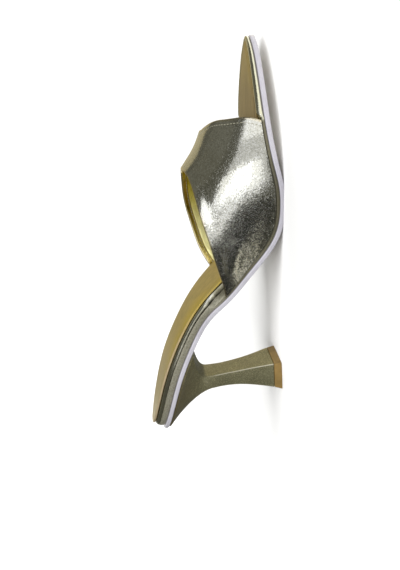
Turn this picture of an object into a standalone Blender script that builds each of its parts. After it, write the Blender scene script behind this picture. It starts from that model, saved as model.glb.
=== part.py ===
"""Open-toe mule on a flared heel: footbed, outsole, one-piece vamp, heel and top piece.

The shoe stands on the floor z = 0. X points to the toe, Y to the shoe's left and Z up.
The origin is the middle of the heel's bottom face. Sizes are in millimetres until a mesh is made.
"""
import math

import bpy
import numpy as np

MM = 0.001

# Driving dimensions of the shoe.
BACK_X = -30.0
FOOTBED_LENGTH = 238.0
TIP_X = BACK_X + FOOTBED_LENGTH
BALL_WIDTH = 78.2
SEAT_WIDTH = 44.4
SEAT_HEIGHT = 90.9
INSTEP_HEIGHT = 52.4
GAP = 0.3

# Thickness of each layer.
SOCK_THICKNESS = 1.1
OUTSOLE_THICKNESS = 2.6
UPPER_WALL = 1.6
TOP_PIECE_HEIGHT = 5.0

# How far the upper's side lies inside the outsole's outline.
UPPER_INSET = 0.8

# An inset is this share of itself at the tip, and it fades where the plan narrows to this many insets.
TIP_INSET_SHARE = 0.55
FADE_INSETS = 2.2

# Number of steps along and across the meshes.
SOLE_STEPS = 50
SOLE_COLUMNS = 6
UPPER_STEPS = 24
UPPER_COLUMNS = 34
HEEL_SIDE_STEPS = 8
CUP_RINGS = 9

# Side view of the footbed: its top, and the whole edge below it down to the tread.
SIDE_VIEW = {
    "x":   (-30, -6, 18, 41, 65, 88, 104, 120, 137, 160, 184, 208),
    "top": (SEAT_HEIGHT, 84.0, 75.6, 64.2, 47.0, 23.0, 11.4, 8.5, 9.6, 11.6, 11.4, 10.4),
}

# Depth of the whole edge, thickest where the upper's back corners are lasted under the footbed.
EDGE_DEPTH = {
    "x":    (-30, -6, 18, 41, 60, 72, 86, 104, 118, 130, 142, 160, 184, 208),
    "down": (10.6, 11.2, 11.3, 11.3, 11.6, 12.7, 10.4, 9.6, 9.4, 9.1, 7.7, 6.5, 5.9, 5.2),
}

# Plan of the outsole: half-widths as shares of the ball's, on the outer and the inner side.
BALL_HALF = BALL_WIDTH / 2
SEAT_SHARE = SEAT_WIDTH / BALL_WIDTH
PLAN = {
    "x":     (-30, -27.5, -20, -5, 20, 43, 65, 88, 110, 132, 150, 164, 177, 188, 199.5, 205.5, 208),
    "outer": (0, 0.27, 0.455, 0.568, SEAT_SHARE + 0.002, 0.542, 0.563, 0.675, 0.845, 0.987, 1.013, 0.936,
              0.783, 0.604, 0.368, 0.164, 0),
    "inner": (0, 0.27, 0.455, 0.568, SEAT_SHARE - 0.005, 0.527, 0.547, 0.650, 0.806, 0.946, 0.987, 0.921,
              0.783, 0.614, 0.384, 0.179, 0),
}

# How far the sock's side lies inside the outsole's outline, and the height of the strip that
# shows between the upper and the outsole.
SOCK_SIDE = {"x": (-30, 20, 60, 90, 165, 190, 208), "inset": (2.0, 2.2, 2.6, 4.2, 4.7, 4.6, 4.4)}
STRIP = {"x": (50, 66, 95, 125, 150, 180), "height": (0.5, 0.5, 1.6, 1.8, 1.5, 1.2)}
STRIP_SLOPE = 0.08
SOCK_EDGE_DROP = 0.35
SOCK_EDGE_INSET = 0.4

# Stretch of the footbed whose side the upper covers, and the length over which the side changes.
HIDDEN_FROM = 66.5
HIDDEN_TO = 168.5
BLEND = 4.0

# Side of the covered board, from bottom to top: inset, and height as a share of the board's.
# Behind the upper it is a padded roll, under it a step, and at the toe a rim round the sock.
BOARD_SIDE = {
    "heel_inset":   (1.7, 1.1, 0.9, 1.2, 2.0, 3.2, 3.8),
    "heel_height":  (0.0, 0.16, 0.42, 0.70, 0.92, 1.0, 1.0),
    "under_inset":  (0.9, 0.9, 3.0, 3.3, 3.7, 4.3, 4.8),
    "under_height": (0.0, 0.30, 0.33, 0.70, 0.92, 1.0, 1.0),
    "toe_inset":    (1.6, 1.0, 0.7, 1.0, 2.0, 3.3, 3.7),
    "toe_height":   (0.0, 0.20, 0.50, 0.82, 0.99, 0.97, 0.0),
}

# Side view of the last above the vamp. Behind the peak of the vamp it only shapes the side walls.
INSTEP = {
    "x": (60, 85, 103, 120, 130, 140, 148, 154, 162, 175),
    "z": (122, 100, 83.5, 68.5, 60.2, INSTEP_HEIGHT, 45.9, 42.1, 38.2, 29.9),
}
INSTEP_SHIFT = 2.0
FULLNESS = 2.35

# The upper's columns crowd its sides by this share, and its folded edges stand out by one of the wall.
COLUMN_CROWDING = 0.06
FOLD_SHARE = 0.35

# Edges of the upper: x of each edge at an angle round the foot, from the outer side over the top.
TOPLINE = {
    "angle": (0, 10, 22, 38, 55, 72, 90, 108, 125, 142, 159, 170, 180),
    "x":     (65.5, 80, 96, 117.5, 133.5, 139.8, 140.5, 137.5, 127, 108.5, 87.5, 75, 64.5),
}
TOE_EDGE = {
    "angle": (0, 12, 37, 65, 90, 115, 143, 168, 180),
    "x":     (165.2, 167.0, 167.0, 165.4, 160.6, 159.6, 161.6, 162.6, 161.5),
}

# Heel from the floor up to its neck: front and back x, and half-widths at the front and back.
HEEL = {
    "z":     (0, 5, 12, 19, 26, 34, 41, 46),
    "front": (10.3, 9.8, 8.6, 7.4, 6.3, 5.3, 4.6, 4.3),
    "back":  (-10.0, -8.4, -7.0, -5.8, -4.8, -4.4, -4.6, -5.0),
    "wide":  (12.8, 12.0, 10.5, 9.3, 8.6, 8.1, 8.0, 8.3),
    "narrow": (11.8, 11.1, 9.8, 8.8, 8.2, 7.8, 7.8, 8.1),
}
HEEL_BOW = 0.4
BREAST_X = 33.0
SEAT_CORNER_X = -20.0
SEAT_INSET = 0.9
SEAT_LIP_HEIGHT = 1.2

# The heel's cup: it flares like a trumpet behind the first x and like a quarter round past the second.
TRUMPET_X = -12.0
QUARTER_ROUND_X = 30.0
TRUMPET_POWER = 1.6


def spline(xs, ys):
    """Natural cubic spline through a table's columns: functions of the value and of the slope."""
    xs, ys = np.asarray(xs, float), np.asarray(ys, float)
    count, step = len(xs), np.diff(xs)
    matrix, right = np.zeros((count, count)), np.zeros(count)
    matrix[0, 0] = matrix[-1, -1] = 1.0
    for i in range(1, count - 1):
        matrix[i, i - 1:i + 2] = step[i - 1], 2 * (step[i - 1] + step[i]), step[i]
        right[i] = 6 * ((ys[i + 1] - ys[i]) / step[i] - (ys[i] - ys[i - 1]) / step[i - 1])
    bend = np.linalg.solve(matrix, right)

    def piece(x):
        i = np.clip(np.searchsorted(xs, x) - 1, 0, count - 2)
        start = (ys[i + 1] - ys[i]) / step[i] - step[i] * (2 * bend[i] + bend[i + 1]) / 6
        return i, np.asarray(x, float) - xs[i], start, (bend[i + 1] - bend[i]) / step[i]

    def value(x):
        i, d, start, change = piece(x)
        return ys[i] + d * (start + d * (bend[i] / 2 + d * change / 6))

    def slope(x):
        i, d, start, change = piece(x)
        return start + d * (bend[i] + d * change / 2)

    return value, slope


def smooth_step(x, low, high):
    t = np.clip((np.asarray(x, float) - low) / (high - low), 0, 1)
    return t * t * (3 - 2 * t)


def turn_of(x):
    """Angle round the plan, 0 at the back and pi at the tip, which spaces the ends closely."""
    middle, half = (BACK_X + TIP_X) / 2, FOOTBED_LENGTH / 2
    return np.arccos(np.clip((middle - np.asarray(x, float)) / half, -1, 1))


footbed_z, footbed_slope = spline(SIDE_VIEW["x"], SIDE_VIEW["top"])
edge_depth, _ = spline(EDGE_DEPTH["x"], EDGE_DEPTH["down"])
outer_share, _ = spline(turn_of(PLAN["x"]), PLAN["outer"])
inner_share, _ = spline(turn_of(PLAN["x"]), PLAN["inner"])
instep_z, _ = spline(INSTEP["x"], INSTEP["z"])
topline_x, _ = spline(TOPLINE["angle"], TOPLINE["x"])
toe_edge_x, _ = spline(TOE_EDGE["angle"], TOE_EDGE["x"])


def strip_height(x):
    return np.interp(x, STRIP["x"], STRIP["height"])


def side_weights(x):
    """Shares of the board's three side shapes: behind the upper, under it and at the toe."""
    past_corner = smooth_step(x, HIDDEN_FROM - BLEND, HIDDEN_FROM)
    past_toe_edge = smooth_step(x, HIDDEN_TO, HIDDEN_TO + BLEND)
    return 1 - past_corner, past_corner * (1 - past_toe_edge), past_toe_edge


def on_sole(x, y, height):
    """Point at a height square to the footbed's top, over the footbed's own place (x, y)."""
    slope = footbed_slope(x)
    length = np.sqrt(1 + slope * slope)
    return np.stack([x - slope / length * height, y + 0 * x, footbed_z(x) + height / length], axis=-1)


def outline(inset, turns):
    """Places of the outer and inner side of the plan, drawn in by an inset."""
    back, tip = BACK_X + inset, TIP_X - TIP_INSET_SHARE * inset
    x = (back + tip) / 2 - (tip - back) / 2 * np.cos(turns)
    sides = []
    for share in (outer_share, inner_share):
        half = np.maximum(share(turns), 0) * BALL_HALF
        sides.append(half * (1 - inset / np.sqrt(half * half + (FADE_INSETS * inset) ** 2 + 1e-9)))
    return x, -sides[0], sides[1]


def closed_mesh(name, vertices, faces, material):
    mesh = bpy.data.meshes.new(name)
    mesh.from_pydata([tuple(np.asarray(v) * MM) for v in vertices], [], faces)
    mesh.validate()
    mesh.materials.append(material)
    mesh.shade_smooth()
    mesh.set_sharp_from_angle(angle=math.radians(35))
    part = bpy.data.objects.new(name, mesh)
    bpy.context.scene.collection.objects.link(part)
    return part


def slab(name, rows, material, floor=None):
    """Closed layer of the sole. Each row has a function of x for its inset and for its height."""
    turns = np.linspace(0, math.pi, SOLE_STEPS + 1)
    vertices, faces, rings = [], [], []

    def add(point):
        if floor is not None:
            point[2] = max(point[2], floor)
        vertices.append(point)
        return len(vertices) - 1

    middle_x = (BACK_X + TIP_X) / 2 - FOOTBED_LENGTH / 2 * np.cos(turns)
    for inset_at, height_at in rows:
        x, outer, inner = outline(inset_at(middle_x), turns)
        height = height_at(x)
        outer_points, inner_points = on_sole(x, outer, height), on_sole(x, inner, height)
        ring = [add(p) for p in outer_points]
        rings.append(ring + [add(p) for p in inner_points[-2:0:-1]])
    count = len(rings[0])
    for low, high in zip(rings, rings[1:]):
        for i in range(count):
            j = (i + 1) % count
            faces.append((low[i], low[j], high[j], high[i]))
    for ring, facing_up in ((rings[0], False), (rings[-1], True)):
        faces += cap(vertices, ring, facing_up)
    return closed_mesh(name, vertices, faces, material)


def cap(vertices, ring, facing_up):
    """Top or bottom of a slab: lines straight across it join its outer and inner side."""
    lines = [[ring[0]]]
    for i in range(1, SOLE_STEPS):
        start, end = ring[i], ring[-i]
        line = [start]
        for k in range(1, SOLE_COLUMNS):
            share = k / SOLE_COLUMNS
            vertices.append(vertices[start] * (1 - share) + vertices[end] * share)
            line.append(len(vertices) - 1)
        lines.append(line + [end])
    lines.append([ring[SOLE_STEPS]])
    faces = []
    for near, far in zip(lines, lines[1:]):
        for k in range(SOLE_COLUMNS):
            a, b = near[min(k, len(near) - 1)], near[min(k + 1, len(near) - 1)]
            c, d = far[min(k + 1, len(far) - 1)], far[min(k, len(far) - 1)]
            face = [v for i, v in enumerate((a, d, c, b)) if v not in (a, d, c, b)[:i]]
            faces.append(tuple(face if facing_up else face[::-1]))
    return faces


def make_outsole(material):
    def row(inset, rise):
        return (lambda x: inset + 0 * x, lambda x: rise - edge_depth(x))

    edge = ((0.5, 0.0), (0.0, 0.5), (0.0, OUTSOLE_THICKNESS - 0.4), (0.3, OUTSOLE_THICKNESS))
    return slab("outsole", [row(*size) for size in edge], material, floor=0.0)


def make_board(material):
    """Padded board of the footbed, wrapped at its side, with a strip that carries the upper."""
    def bottom(x):
        return OUTSOLE_THICKNESS + GAP - edge_depth(x)

    def row(i):
        def inset(x):
            heel, under, toe = side_weights(x)
            return (BOARD_SIDE["heel_inset"][i] * heel + BOARD_SIDE["under_inset"][i] * under
                    + BOARD_SIDE["toe_inset"][i] * toe)

        def height(x):
            heel, under, toe = side_weights(x)
            low, recess = bottom(x), -SOCK_THICKNESS - GAP
            heel_rise = BOARD_SIDE["heel_height"][i] * (recess - low)
            under_rise = BOARD_SIDE["under_height"][i] * (recess - low)
            if i in (1, 2):
                under_rise = strip_height(x) + STRIP_SLOPE * (i - 1)
            toe_rise = BOARD_SIDE["toe_height"][i] * -low
            if i == len(BOARD_SIDE["toe_height"]) - 1:
                toe_rise = recess - low
            return low + heel_rise * heel + under_rise * under + toe_rise * toe

        return inset, height

    return slab("covered_board", [row(i) for i in range(len(BOARD_SIDE["heel_inset"]))], material)


def make_insole(material):
    side, _ = spline(SOCK_SIDE["x"], SOCK_SIDE["inset"])

    def row(extra, rise):
        return (lambda x: side(x) + extra, lambda x: rise + 0 * x)

    edge = ((0.0, -SOCK_THICKNESS), (0.0, -SOCK_EDGE_DROP), (SOCK_EDGE_INSET, 0.0))
    return slab("insole", [row(*size) for size in edge], material)


def feather_line():
    """The upper's lower edge on each side, as sorted x with its height and half-widths."""
    turns = np.linspace(0, math.pi, 400)
    x, outer, inner = outline(0.0, turns)
    height = OUTSOLE_THICKNESS + 2 * GAP + strip_height(x) - edge_depth(x)
    line = on_sole(x, 0 * x, height)
    return line[:, 0], line[:, 2], -outer - UPPER_INSET, inner - UPPER_INSET


FEATHER_X, FEATHER_Z, FEATHER_OUTER, FEATHER_INNER = feather_line()


def on_last(x, angle):
    """Point on the upper's outside: an arch over the foot, round by an angle from the outer side."""
    cosine, sine = math.cos(angle), abs(math.sin(angle))
    half = np.interp(x, FEATHER_X, FEATHER_OUTER if cosine > 0 else FEATHER_INNER)
    low = np.interp(x, FEATHER_X, FEATHER_Z)
    y = -math.copysign(half * abs(cosine) ** (2 / FULLNESS), cosine) + INSTEP_SHIFT * sine
    return np.array([x, y, low + (float(instep_z(x)) - low) * sine])


def last_normal(x, angle):
    step = 0.01
    along = on_last(x + step, angle) - on_last(x - step, angle)
    low, high = max(angle - step, 0.0), min(angle + step, math.pi)
    around = on_last(x, high) - on_last(x, low)
    normal = np.cross(along, around)
    return normal / np.linalg.norm(normal)


def make_upper(material):
    """One wall from the toe opening to the topline, open underneath, its edges rounded."""
    shares = np.linspace(0, 1, UPPER_COLUMNS + 1)
    angles = 180 * (shares - COLUMN_CROWDING * np.sin(2 * math.pi * shares) / math.pi)
    outside, inside = [], []
    for degrees in angles:
        angle = math.radians(degrees)
        front, back = float(toe_edge_x(degrees)), float(topline_x(degrees))
        line = [front + (back - front) * i / UPPER_STEPS for i in range(UPPER_STEPS + 1)]
        outer = [on_last(x, angle) for x in line]
        normals = [last_normal(x, angle) for x in line]
        outside.append(outer)
        inside.append([p - UPPER_WALL * n for p, n in zip(outer, normals)])
    vertices, faces = [], []

    def add(points):
        vertices.extend(points)
        return list(range(len(vertices) - len(points), len(vertices)))

    rows_out = [add(row) for row in outside]
    rows_in = [add(row) for row in inside]
    edge_front = add([fold(o[0], i[0], o[1]) for o, i in zip(outside, inside)])
    edge_back = add([fold(o[-1], i[-1], o[-2]) for o, i in zip(outside, inside)])
    for k in range(UPPER_COLUMNS):
        a, b, c, d = rows_out[k], rows_out[k + 1], rows_in[k], rows_in[k + 1]
        for i in range(UPPER_STEPS):
            faces.append((a[i], b[i], b[i + 1], a[i + 1]))
            faces.append((c[i], c[i + 1], d[i + 1], d[i]))
        faces.append((a[0], edge_front[k], edge_front[k + 1], b[0]))
        faces.append((edge_front[k], c[0], d[0], edge_front[k + 1]))
        faces.append((a[-1], b[-1], edge_back[k + 1], edge_back[k]))
        faces.append((edge_back[k], edge_back[k + 1], d[-1], c[-1]))
    for k, flip in ((0, False), (UPPER_COLUMNS, True)):
        a, c = rows_out[k], rows_in[k]
        end = [(a[i], a[i + 1], c[i + 1], c[i]) for i in range(UPPER_STEPS)]
        end += [(a[0], c[0], edge_front[k]), (a[-1], edge_back[k], c[-1])]
        faces += [face[::-1] for face in end] if flip else end
    return closed_mesh("upper", vertices, faces, material)


def fold(outer, inner, before):
    """Middle of a folded edge, a little beyond the wall's two faces."""
    away = outer - before
    return (outer + inner) / 2 + away / np.linalg.norm(away) * UPPER_WALL * FOLD_SHARE


def heel_section(z, per_side):
    """Four-sided section of the heel at a height, sides bowed a little, from its front outer corner."""
    front, back, wide, narrow = (float(spline(HEEL["z"], HEEL[key])[0](z))
                                 for key in ("front", "back", "wide", "narrow"))
    corners = [np.array(c) for c in ((front, -wide), (back, -narrow), (back, narrow), (front, wide))]
    points = []
    for start, end in zip(corners, corners[1:] + corners[:1]):
        along = end - start
        out = np.array([-along[1], along[0]]) / np.linalg.norm(along)
        for i in range(per_side):
            share = i / per_side
            bow = HEEL_BOW * 4 * share * (1 - share)
            points.append(np.append(start + along * share + out * bow, z))
    return points


def seat_section(per_side, drop):
    """Edge of the heel's top, a drop below the outsole, in the order of the heel's sections."""
    turns = np.linspace(0, math.pi, 600)
    x, outer, inner = outline(SEAT_INSET, turns)
    points = []

    def side_points(values, half):
        return [on_sole(np.array(v), float(np.interp(v, x, half)), -edge_depth(v) - drop)
                for v in values]

    along = np.linspace(BREAST_X, SEAT_CORNER_X, per_side + 1)
    corner_turn = float(np.interp(SEAT_CORNER_X, x, turns))
    round_back = np.interp(np.linspace(corner_turn, 0, per_side // 2 + 1), turns, x)
    points += side_points(along[:-1], outer)
    points += side_points(round_back[:-1], outer)
    points += side_points(round_back[::-1][:-1], inner)
    points += side_points(along[::-1][:-1], inner)
    start, end = side_points([BREAST_X], inner)[0], side_points([BREAST_X], outer)[0]
    points += [start + (end - start) * i / per_side for i in range(per_side)]
    return points


def make_heel(material):
    """Flared heel: four crisp sides from the top piece to the neck, then a smooth cup to the seat."""
    levels = [TOP_PIECE_HEIGHT + GAP] + [float(z) for z in HEEL["z"][2:]]
    rings = [heel_section(z, HEEL_SIDE_STEPS) for z in levels]
    neck, seat = rings[-1], seat_section(HEEL_SIDE_STEPS, GAP + SEAT_LIP_HEIGHT)
    for k in range(1, CUP_RINGS + 1):
        u = k / CUP_RINGS
        ring = []
        for low, high in zip(neck, seat):
            forward = float(smooth_step(high[0], TRUMPET_X, QUARTER_ROUND_X))
            out = (1 - math.cos(u * math.pi / 2)) * forward + u ** TRUMPET_POWER * (1 - forward)
            up = math.sqrt(math.sin(u * math.pi / 2)) * forward + u * (1 - forward)
            ring.append(np.array([low[0] + (high[0] - low[0]) * out, low[1] + (high[1] - low[1]) * out,
                                  low[2] + (high[2] - low[2]) * up]))
        rings.append(ring)
    rings.append(seat_section(HEEL_SIDE_STEPS, GAP))
    return ring_body("heel", rings, material, seat_top(len(neck)))


def seat_top(count):
    """Faces of the heel's top as strips straight across, so that each is flat."""
    n = HEEL_SIDE_STEPS
    outer = list(range(0, n + n // 2 + 1))
    inner = [(3 * n - i) % count for i in range(n + n // 2 + 1)]
    faces = [(outer[0], outer[1], inner[1], inner[0]) + tuple(range(3 * n + 1, 4 * n))]
    for i in range(1, n + n // 2 - 1):
        faces.append((outer[i], outer[i + 1], inner[i + 1], inner[i]))
    faces.append((outer[-2], outer[-1], inner[-2]))
    return faces


def ring_body(name, rings, material, top_faces=None):
    count = len(rings[0])
    vertices = [p for ring in rings for p in ring]
    faces = [tuple(range(count))]
    for r in range(len(rings) - 1):
        for i in range(count):
            j = (i + 1) % count
            faces.append((r * count + i, (r + 1) * count + i, (r + 1) * count + j, r * count + j))
    last = (len(rings) - 1) * count
    if top_faces is None:
        faces.append(tuple(last + i for i in reversed(range(count))))
    else:
        faces += [tuple(last + i for i in reversed(face)) for face in top_faces]
    return closed_mesh(name, vertices, faces, material)


def make_top_piece(material):
    rings = [heel_section(z, HEEL_SIDE_STEPS) for z in (0.0, TOP_PIECE_HEIGHT)]
    return ring_body("top_piece", rings, material)


def make_material(name, colour, roughness, metallic):
    material = bpy.data.materials.new(name)
    material.use_nodes = True
    shader = material.node_tree.nodes["Principled BSDF"]
    shader.inputs["Base Color"].default_value = (*colour, 1)
    shader.inputs["Roughness"].default_value = roughness
    shader.inputs["Metallic"].default_value = metallic
    return material


def main():
    for old in list(bpy.data.objects):
        bpy.data.objects.remove(old, do_unlink=True)
    make_outsole(make_material("outsole_white", (0.80, 0.78, 0.84), 0.45, 0.0))
    make_board(make_material("covered_board_silver", (0.55, 0.54, 0.46), 0.28, 0.9))
    make_insole(make_material("insole_gold", (0.60, 0.48, 0.24), 0.42, 0.5))
    make_upper(make_material("upper_champagne", (0.66, 0.64, 0.56), 0.30, 1.0))
    make_heel(make_material("heel_olive_gold", (0.42, 0.40, 0.26), 0.30, 0.8))
    make_top_piece(make_material("top_piece_tan", (0.52, 0.33, 0.12), 0.55, 0.0))


main()
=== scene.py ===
# %% [markdown]
# This shoe is a metallic open-toe mule on a flared heel. Its solids are already built and packed, and this
# file dresses them: each solid is replaced by a finer surface of the same shape, with the folds, creases,
# stitches and grain that leather, lacquer and rubber really have. Nothing moves, because the packed solids
# are the fixed frame of every piece here.

# %% Load the packed solids as a fixed frame
import math

import bmesh
import bpy
import numpy as np
from mathutils import Matrix, Vector


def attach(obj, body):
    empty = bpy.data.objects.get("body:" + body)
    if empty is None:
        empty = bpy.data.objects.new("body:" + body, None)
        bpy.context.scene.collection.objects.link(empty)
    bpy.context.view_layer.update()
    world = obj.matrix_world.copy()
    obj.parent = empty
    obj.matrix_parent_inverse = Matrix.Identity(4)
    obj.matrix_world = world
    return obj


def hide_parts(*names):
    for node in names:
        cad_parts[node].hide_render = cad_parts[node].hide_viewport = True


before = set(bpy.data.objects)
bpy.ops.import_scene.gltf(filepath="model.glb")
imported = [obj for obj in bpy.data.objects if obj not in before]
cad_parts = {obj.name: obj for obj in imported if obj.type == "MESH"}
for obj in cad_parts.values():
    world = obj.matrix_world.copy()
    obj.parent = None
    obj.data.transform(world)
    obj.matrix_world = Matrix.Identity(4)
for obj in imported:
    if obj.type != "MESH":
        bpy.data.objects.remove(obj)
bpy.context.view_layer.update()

print("solids:", ", ".join(sorted(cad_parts)))

# %% [markdown]
# A shoemaker describes a last by a few stations: the height here, the width there. Bezier curves would need
# many handles that agree with each other. A natural cubic spline through a short table is the smooth line
# that a bent batten takes, so it suits soles and lasts. Sizes are in millimetres until a mesh is made,
# because a shoe's details are easier to read that way.

# %% Splines and soft corners
MM = 0.001


def spline(xs, ys):
    """Natural cubic spline through a table's columns: functions of the value and of the slope."""
    xs, ys = np.asarray(xs, float), np.asarray(ys, float)
    count, step = len(xs), np.diff(xs)
    matrix, right = np.zeros((count, count)), np.zeros(count)
    matrix[0, 0] = matrix[-1, -1] = 1.0
    for i in range(1, count - 1):
        matrix[i, i - 1:i + 2] = step[i - 1], 2 * (step[i - 1] + step[i]), step[i]
        right[i] = 6 * ((ys[i + 1] - ys[i]) / step[i] - (ys[i] - ys[i - 1]) / step[i - 1])
    bend = np.linalg.solve(matrix, right)

    def piece(x):
        i = np.clip(np.searchsorted(xs, x) - 1, 0, count - 2)
        start = (ys[i + 1] - ys[i]) / step[i] - step[i] * (2 * bend[i] + bend[i + 1]) / 6
        return i, np.asarray(x, float) - xs[i], start, (bend[i + 1] - bend[i]) / step[i]

    def value(x):
        i, d, start, change = piece(x)
        return ys[i] + d * (start + d * (bend[i] / 2 + d * change / 6))

    def slope(x):
        i, d, start, change = piece(x)
        return start + d * (bend[i] + d * change / 2)

    return value, slope


def smooth_step(x, low, high):
    t = np.clip((np.asarray(x, float) - low) / (high - low), 0, 1)
    return t * t * (3 - 2 * t)


def soften(rows, times=2):
    """Cuts a profile's corners, each pass at a quarter and three quarters of every side."""
    for _ in range(times):
        near, far = 0.75 * rows[:-1] + 0.25 * rows[1:], 0.25 * rows[:-1] + 0.75 * rows[1:]
        cut = np.stack([near, far], axis=1).reshape(-1, *rows.shape[1:])
        rows = np.concatenate([rows[:1], cut, rows[-1:]])
    return rows


batten, _ = spline((0, 1, 2), (0, 1, 0))
print(f"a batten over 0, 1, 0 stands {float(batten(0.5)):.2f} high halfway up")

# %% [markdown]
# These are the same stations as the solids have: the footbed's side view, the depth of the whole edge and
# the plan of the outsole. The plan could be a traced curve, but as shares of half the ball's width it keeps
# its character when the shoe gets wider. X points to the toe, Y to the shoe's left and Z up, from the
# middle of the heel's foot.

# %% Stations of the sole
BACK_X, TIP_X = -30.0, 208.0
FOOTBED_LENGTH = TIP_X - BACK_X
BALL_HALF = 39.1
SEAT_SHARE = 22.2 / BALL_HALF
GAP = 0.3
SOCK_THICKNESS = 1.1
OUTSOLE_THICKNESS = 2.6

footbed_z, footbed_slope = spline(
    (-30, -6, 18, 41, 65, 88, 104, 120, 137, 160, 184, 208),
    (90.9, 84.0, 75.6, 64.2, 47.0, 23.0, 11.4, 8.5, 9.6, 11.6, 11.4, 10.4))
edge_depth, _ = spline(
    (-30, -6, 18, 41, 60, 72, 86, 104, 118, 130, 142, 160, 184, 208),
    (10.6, 11.2, 11.3, 11.3, 11.6, 12.7, 10.4, 9.6, 9.4, 9.1, 7.7, 6.5, 5.9, 5.2))


def turn_of(x):
    """Angle round the plan, 0 at the back and pi at the tip, which spaces the ends closely."""
    middle, half = (BACK_X + TIP_X) / 2, FOOTBED_LENGTH / 2
    return np.arccos(np.clip((middle - np.asarray(x, float)) / half, -1, 1))


PLAN_X = (-30, -27.5, -20, -5, 20, 43, 65, 88, 110, 132, 150, 164, 177, 188, 199.5, 205.5, 208)
outer_share, _ = spline(turn_of(PLAN_X), (
    0, 0.27, 0.455, 0.568, SEAT_SHARE + 0.002, 0.542, 0.563, 0.675, 0.845, 0.987, 1.013, 0.936,
    0.783, 0.604, 0.368, 0.164, 0))
inner_share, _ = spline(turn_of(PLAN_X), (
    0, 0.27, 0.455, 0.568, SEAT_SHARE - 0.005, 0.527, 0.547, 0.650, 0.806, 0.946, 0.987, 0.921,
    0.783, 0.614, 0.384, 0.179, 0))


print(f"footbed: {FOOTBED_LENGTH:.0f} mm long, {float(footbed_z(BACK_X)):.1f} mm high at the seat")

# %% [markdown]
# Each layer of the sole is the plan drawn in by an inset. Scaling the plan would draw in its ends more than
# its sides, so the inset is taken off each half-width, and it fades where the plan comes to a point. A
# height is measured square to the footbed, as a ruler held against the sole would be.

# %% Places on the sole
TIP_INSET_SHARE = 0.55
FADE_INSETS = 2.2
TINY = 1e-9


def outline(inset, turns):
    """Places of the outer and inner side of the plan, drawn in by an inset."""
    back, tip = BACK_X + inset, TIP_X - TIP_INSET_SHARE * inset
    x = (back + tip) / 2 - (tip - back) / 2 * np.cos(turns)
    sides = []
    for share in (outer_share, inner_share):
        half = np.maximum(share(turns), 0) * BALL_HALF
        sides.append(half * (1 - inset / np.sqrt(half * half + (FADE_INSETS * inset) ** 2 + TINY)))
    return x, -sides[0], sides[1]


def on_sole(x, y, height):
    """Point at a height square to the footbed's top, over the footbed's own place (x, y)."""
    slope = footbed_slope(x)
    length = np.sqrt(1 + slope * slope)
    return np.stack([x - slope / length * height, y + 0 * x, footbed_z(x) + height / length], axis=-1)


ball_turn = float(turn_of(150))
print(f"half the ball is {float(outer_share(ball_turn)) * BALL_HALF:.1f} mm on the outer side")

# %% [markdown]
# Every piece ends as one closed mesh whose faces point outwards, at the object's origin, so that it bakes
# and prints as it is. Recalculating the normals would do, but the volume worked out from the triangles says
# at once whether a shape is inside out: it is then negative. Numbers that a finish needs, such as the
# distance from a folded edge, are stored on the points as attributes.

# %% Mesh helper
CUBIC_CM = 1000.0
SHARP_ANGLE = math.radians(38)


def closed_mesh(name, points, faces, slot, node=None, **attributes):
    mesh = bpy.data.meshes.new(name)
    mesh.from_pydata((np.asarray(points, float) * MM).tolist(), [], [tuple(map(int, f)) for f in faces])
    mesh.validate()
    mesh.calc_loop_triangles()
    corners = np.array([t.vertices for t in mesh.loop_triangles])
    a, b, c = (np.asarray(points, float)[corners[:, k]] for k in range(3))
    volume = np.einsum("ij,ij->i", a, np.cross(b, c)).sum() / 6 / CUBIC_CM
    if volume < 0:
        mesh.flip_normals()
    for key, values in attributes.items():
        mesh.attributes.new(key, "FLOAT", "POINT").data.foreach_set("value", np.asarray(values, np.float32))
    mesh.shade_smooth()
    mesh.set_sharp_from_angle(angle=SHARP_ANGLE)
    piece = bpy.data.objects.new(name, mesh)
    bpy.context.scene.collection.objects.link(piece)
    if node:
        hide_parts(node)
    print(f"{name}: {len(corners)} triangles, {abs(volume):.1f} cm3")
    return piece


print(f"edges sharper than {math.degrees(SHARP_ANGLE):.0f} degrees stay crisp")

# %% [markdown]
# A layer's top and bottom are strips that run straight across the shoe. A grid fill would spread its points
# evenly, but a pressed line or a rolled rim needs them close to the edge, so the lines across crowd there.
# At the back and at the tip all the lines meet in one point.

# %% Strips across a layer
SOLE_STEPS = 210
EDGE_PLACES = np.array([0.0, 0.5, 1.0, 1.4, 1.8, 2.2, 2.6, 3.1, 4.0])
MIDDLE_COLUMNS = 14
EDGE_ROOM = 14.0
OUTER, INNER = -1, 1


def cross_places(width):
    """Places from the outer side to the inner one, close together near both."""
    edge = EDGE_PLACES * min(1.0, width / EDGE_ROOM)
    middle = np.linspace(edge[-1], width - edge[-1], MIDDLE_COLUMNS + 1)[1:-1]
    return np.concatenate([edge, middle, (width - edge)[::-1]])


def strip_faces(lines, facing_up):
    """Faces between neighbouring lines across a layer, whose first and last lines are single points."""
    columns, faces = len(lines[1]) - 1, []
    for near, far in zip(lines, lines[1:]):
        near = near if len(near) > 2 else near[:1] * (columns + 1)
        far = far if len(far) > 2 else far[:1] * (columns + 1)
        for k in range(columns):
            face = list(dict.fromkeys((near[k], far[k], far[k + 1], near[k + 1])))
            faces.append(face if facing_up else face[::-1])
    return faces


print(f"a line across {2 * BALL_HALF:.0f} mm has {len(cross_places(2 * BALL_HALF))} points")

# %% [markdown]
# Outsole, covered board and sock share one way of making: rings that follow the plan at growing height, each
# drawn in by its own inset, closed by a bottom and a top. A Bevel modifier on an extruded plan gives one
# edge shape all round, but here the two sides may differ and the shape may change along the shoe.

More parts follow.
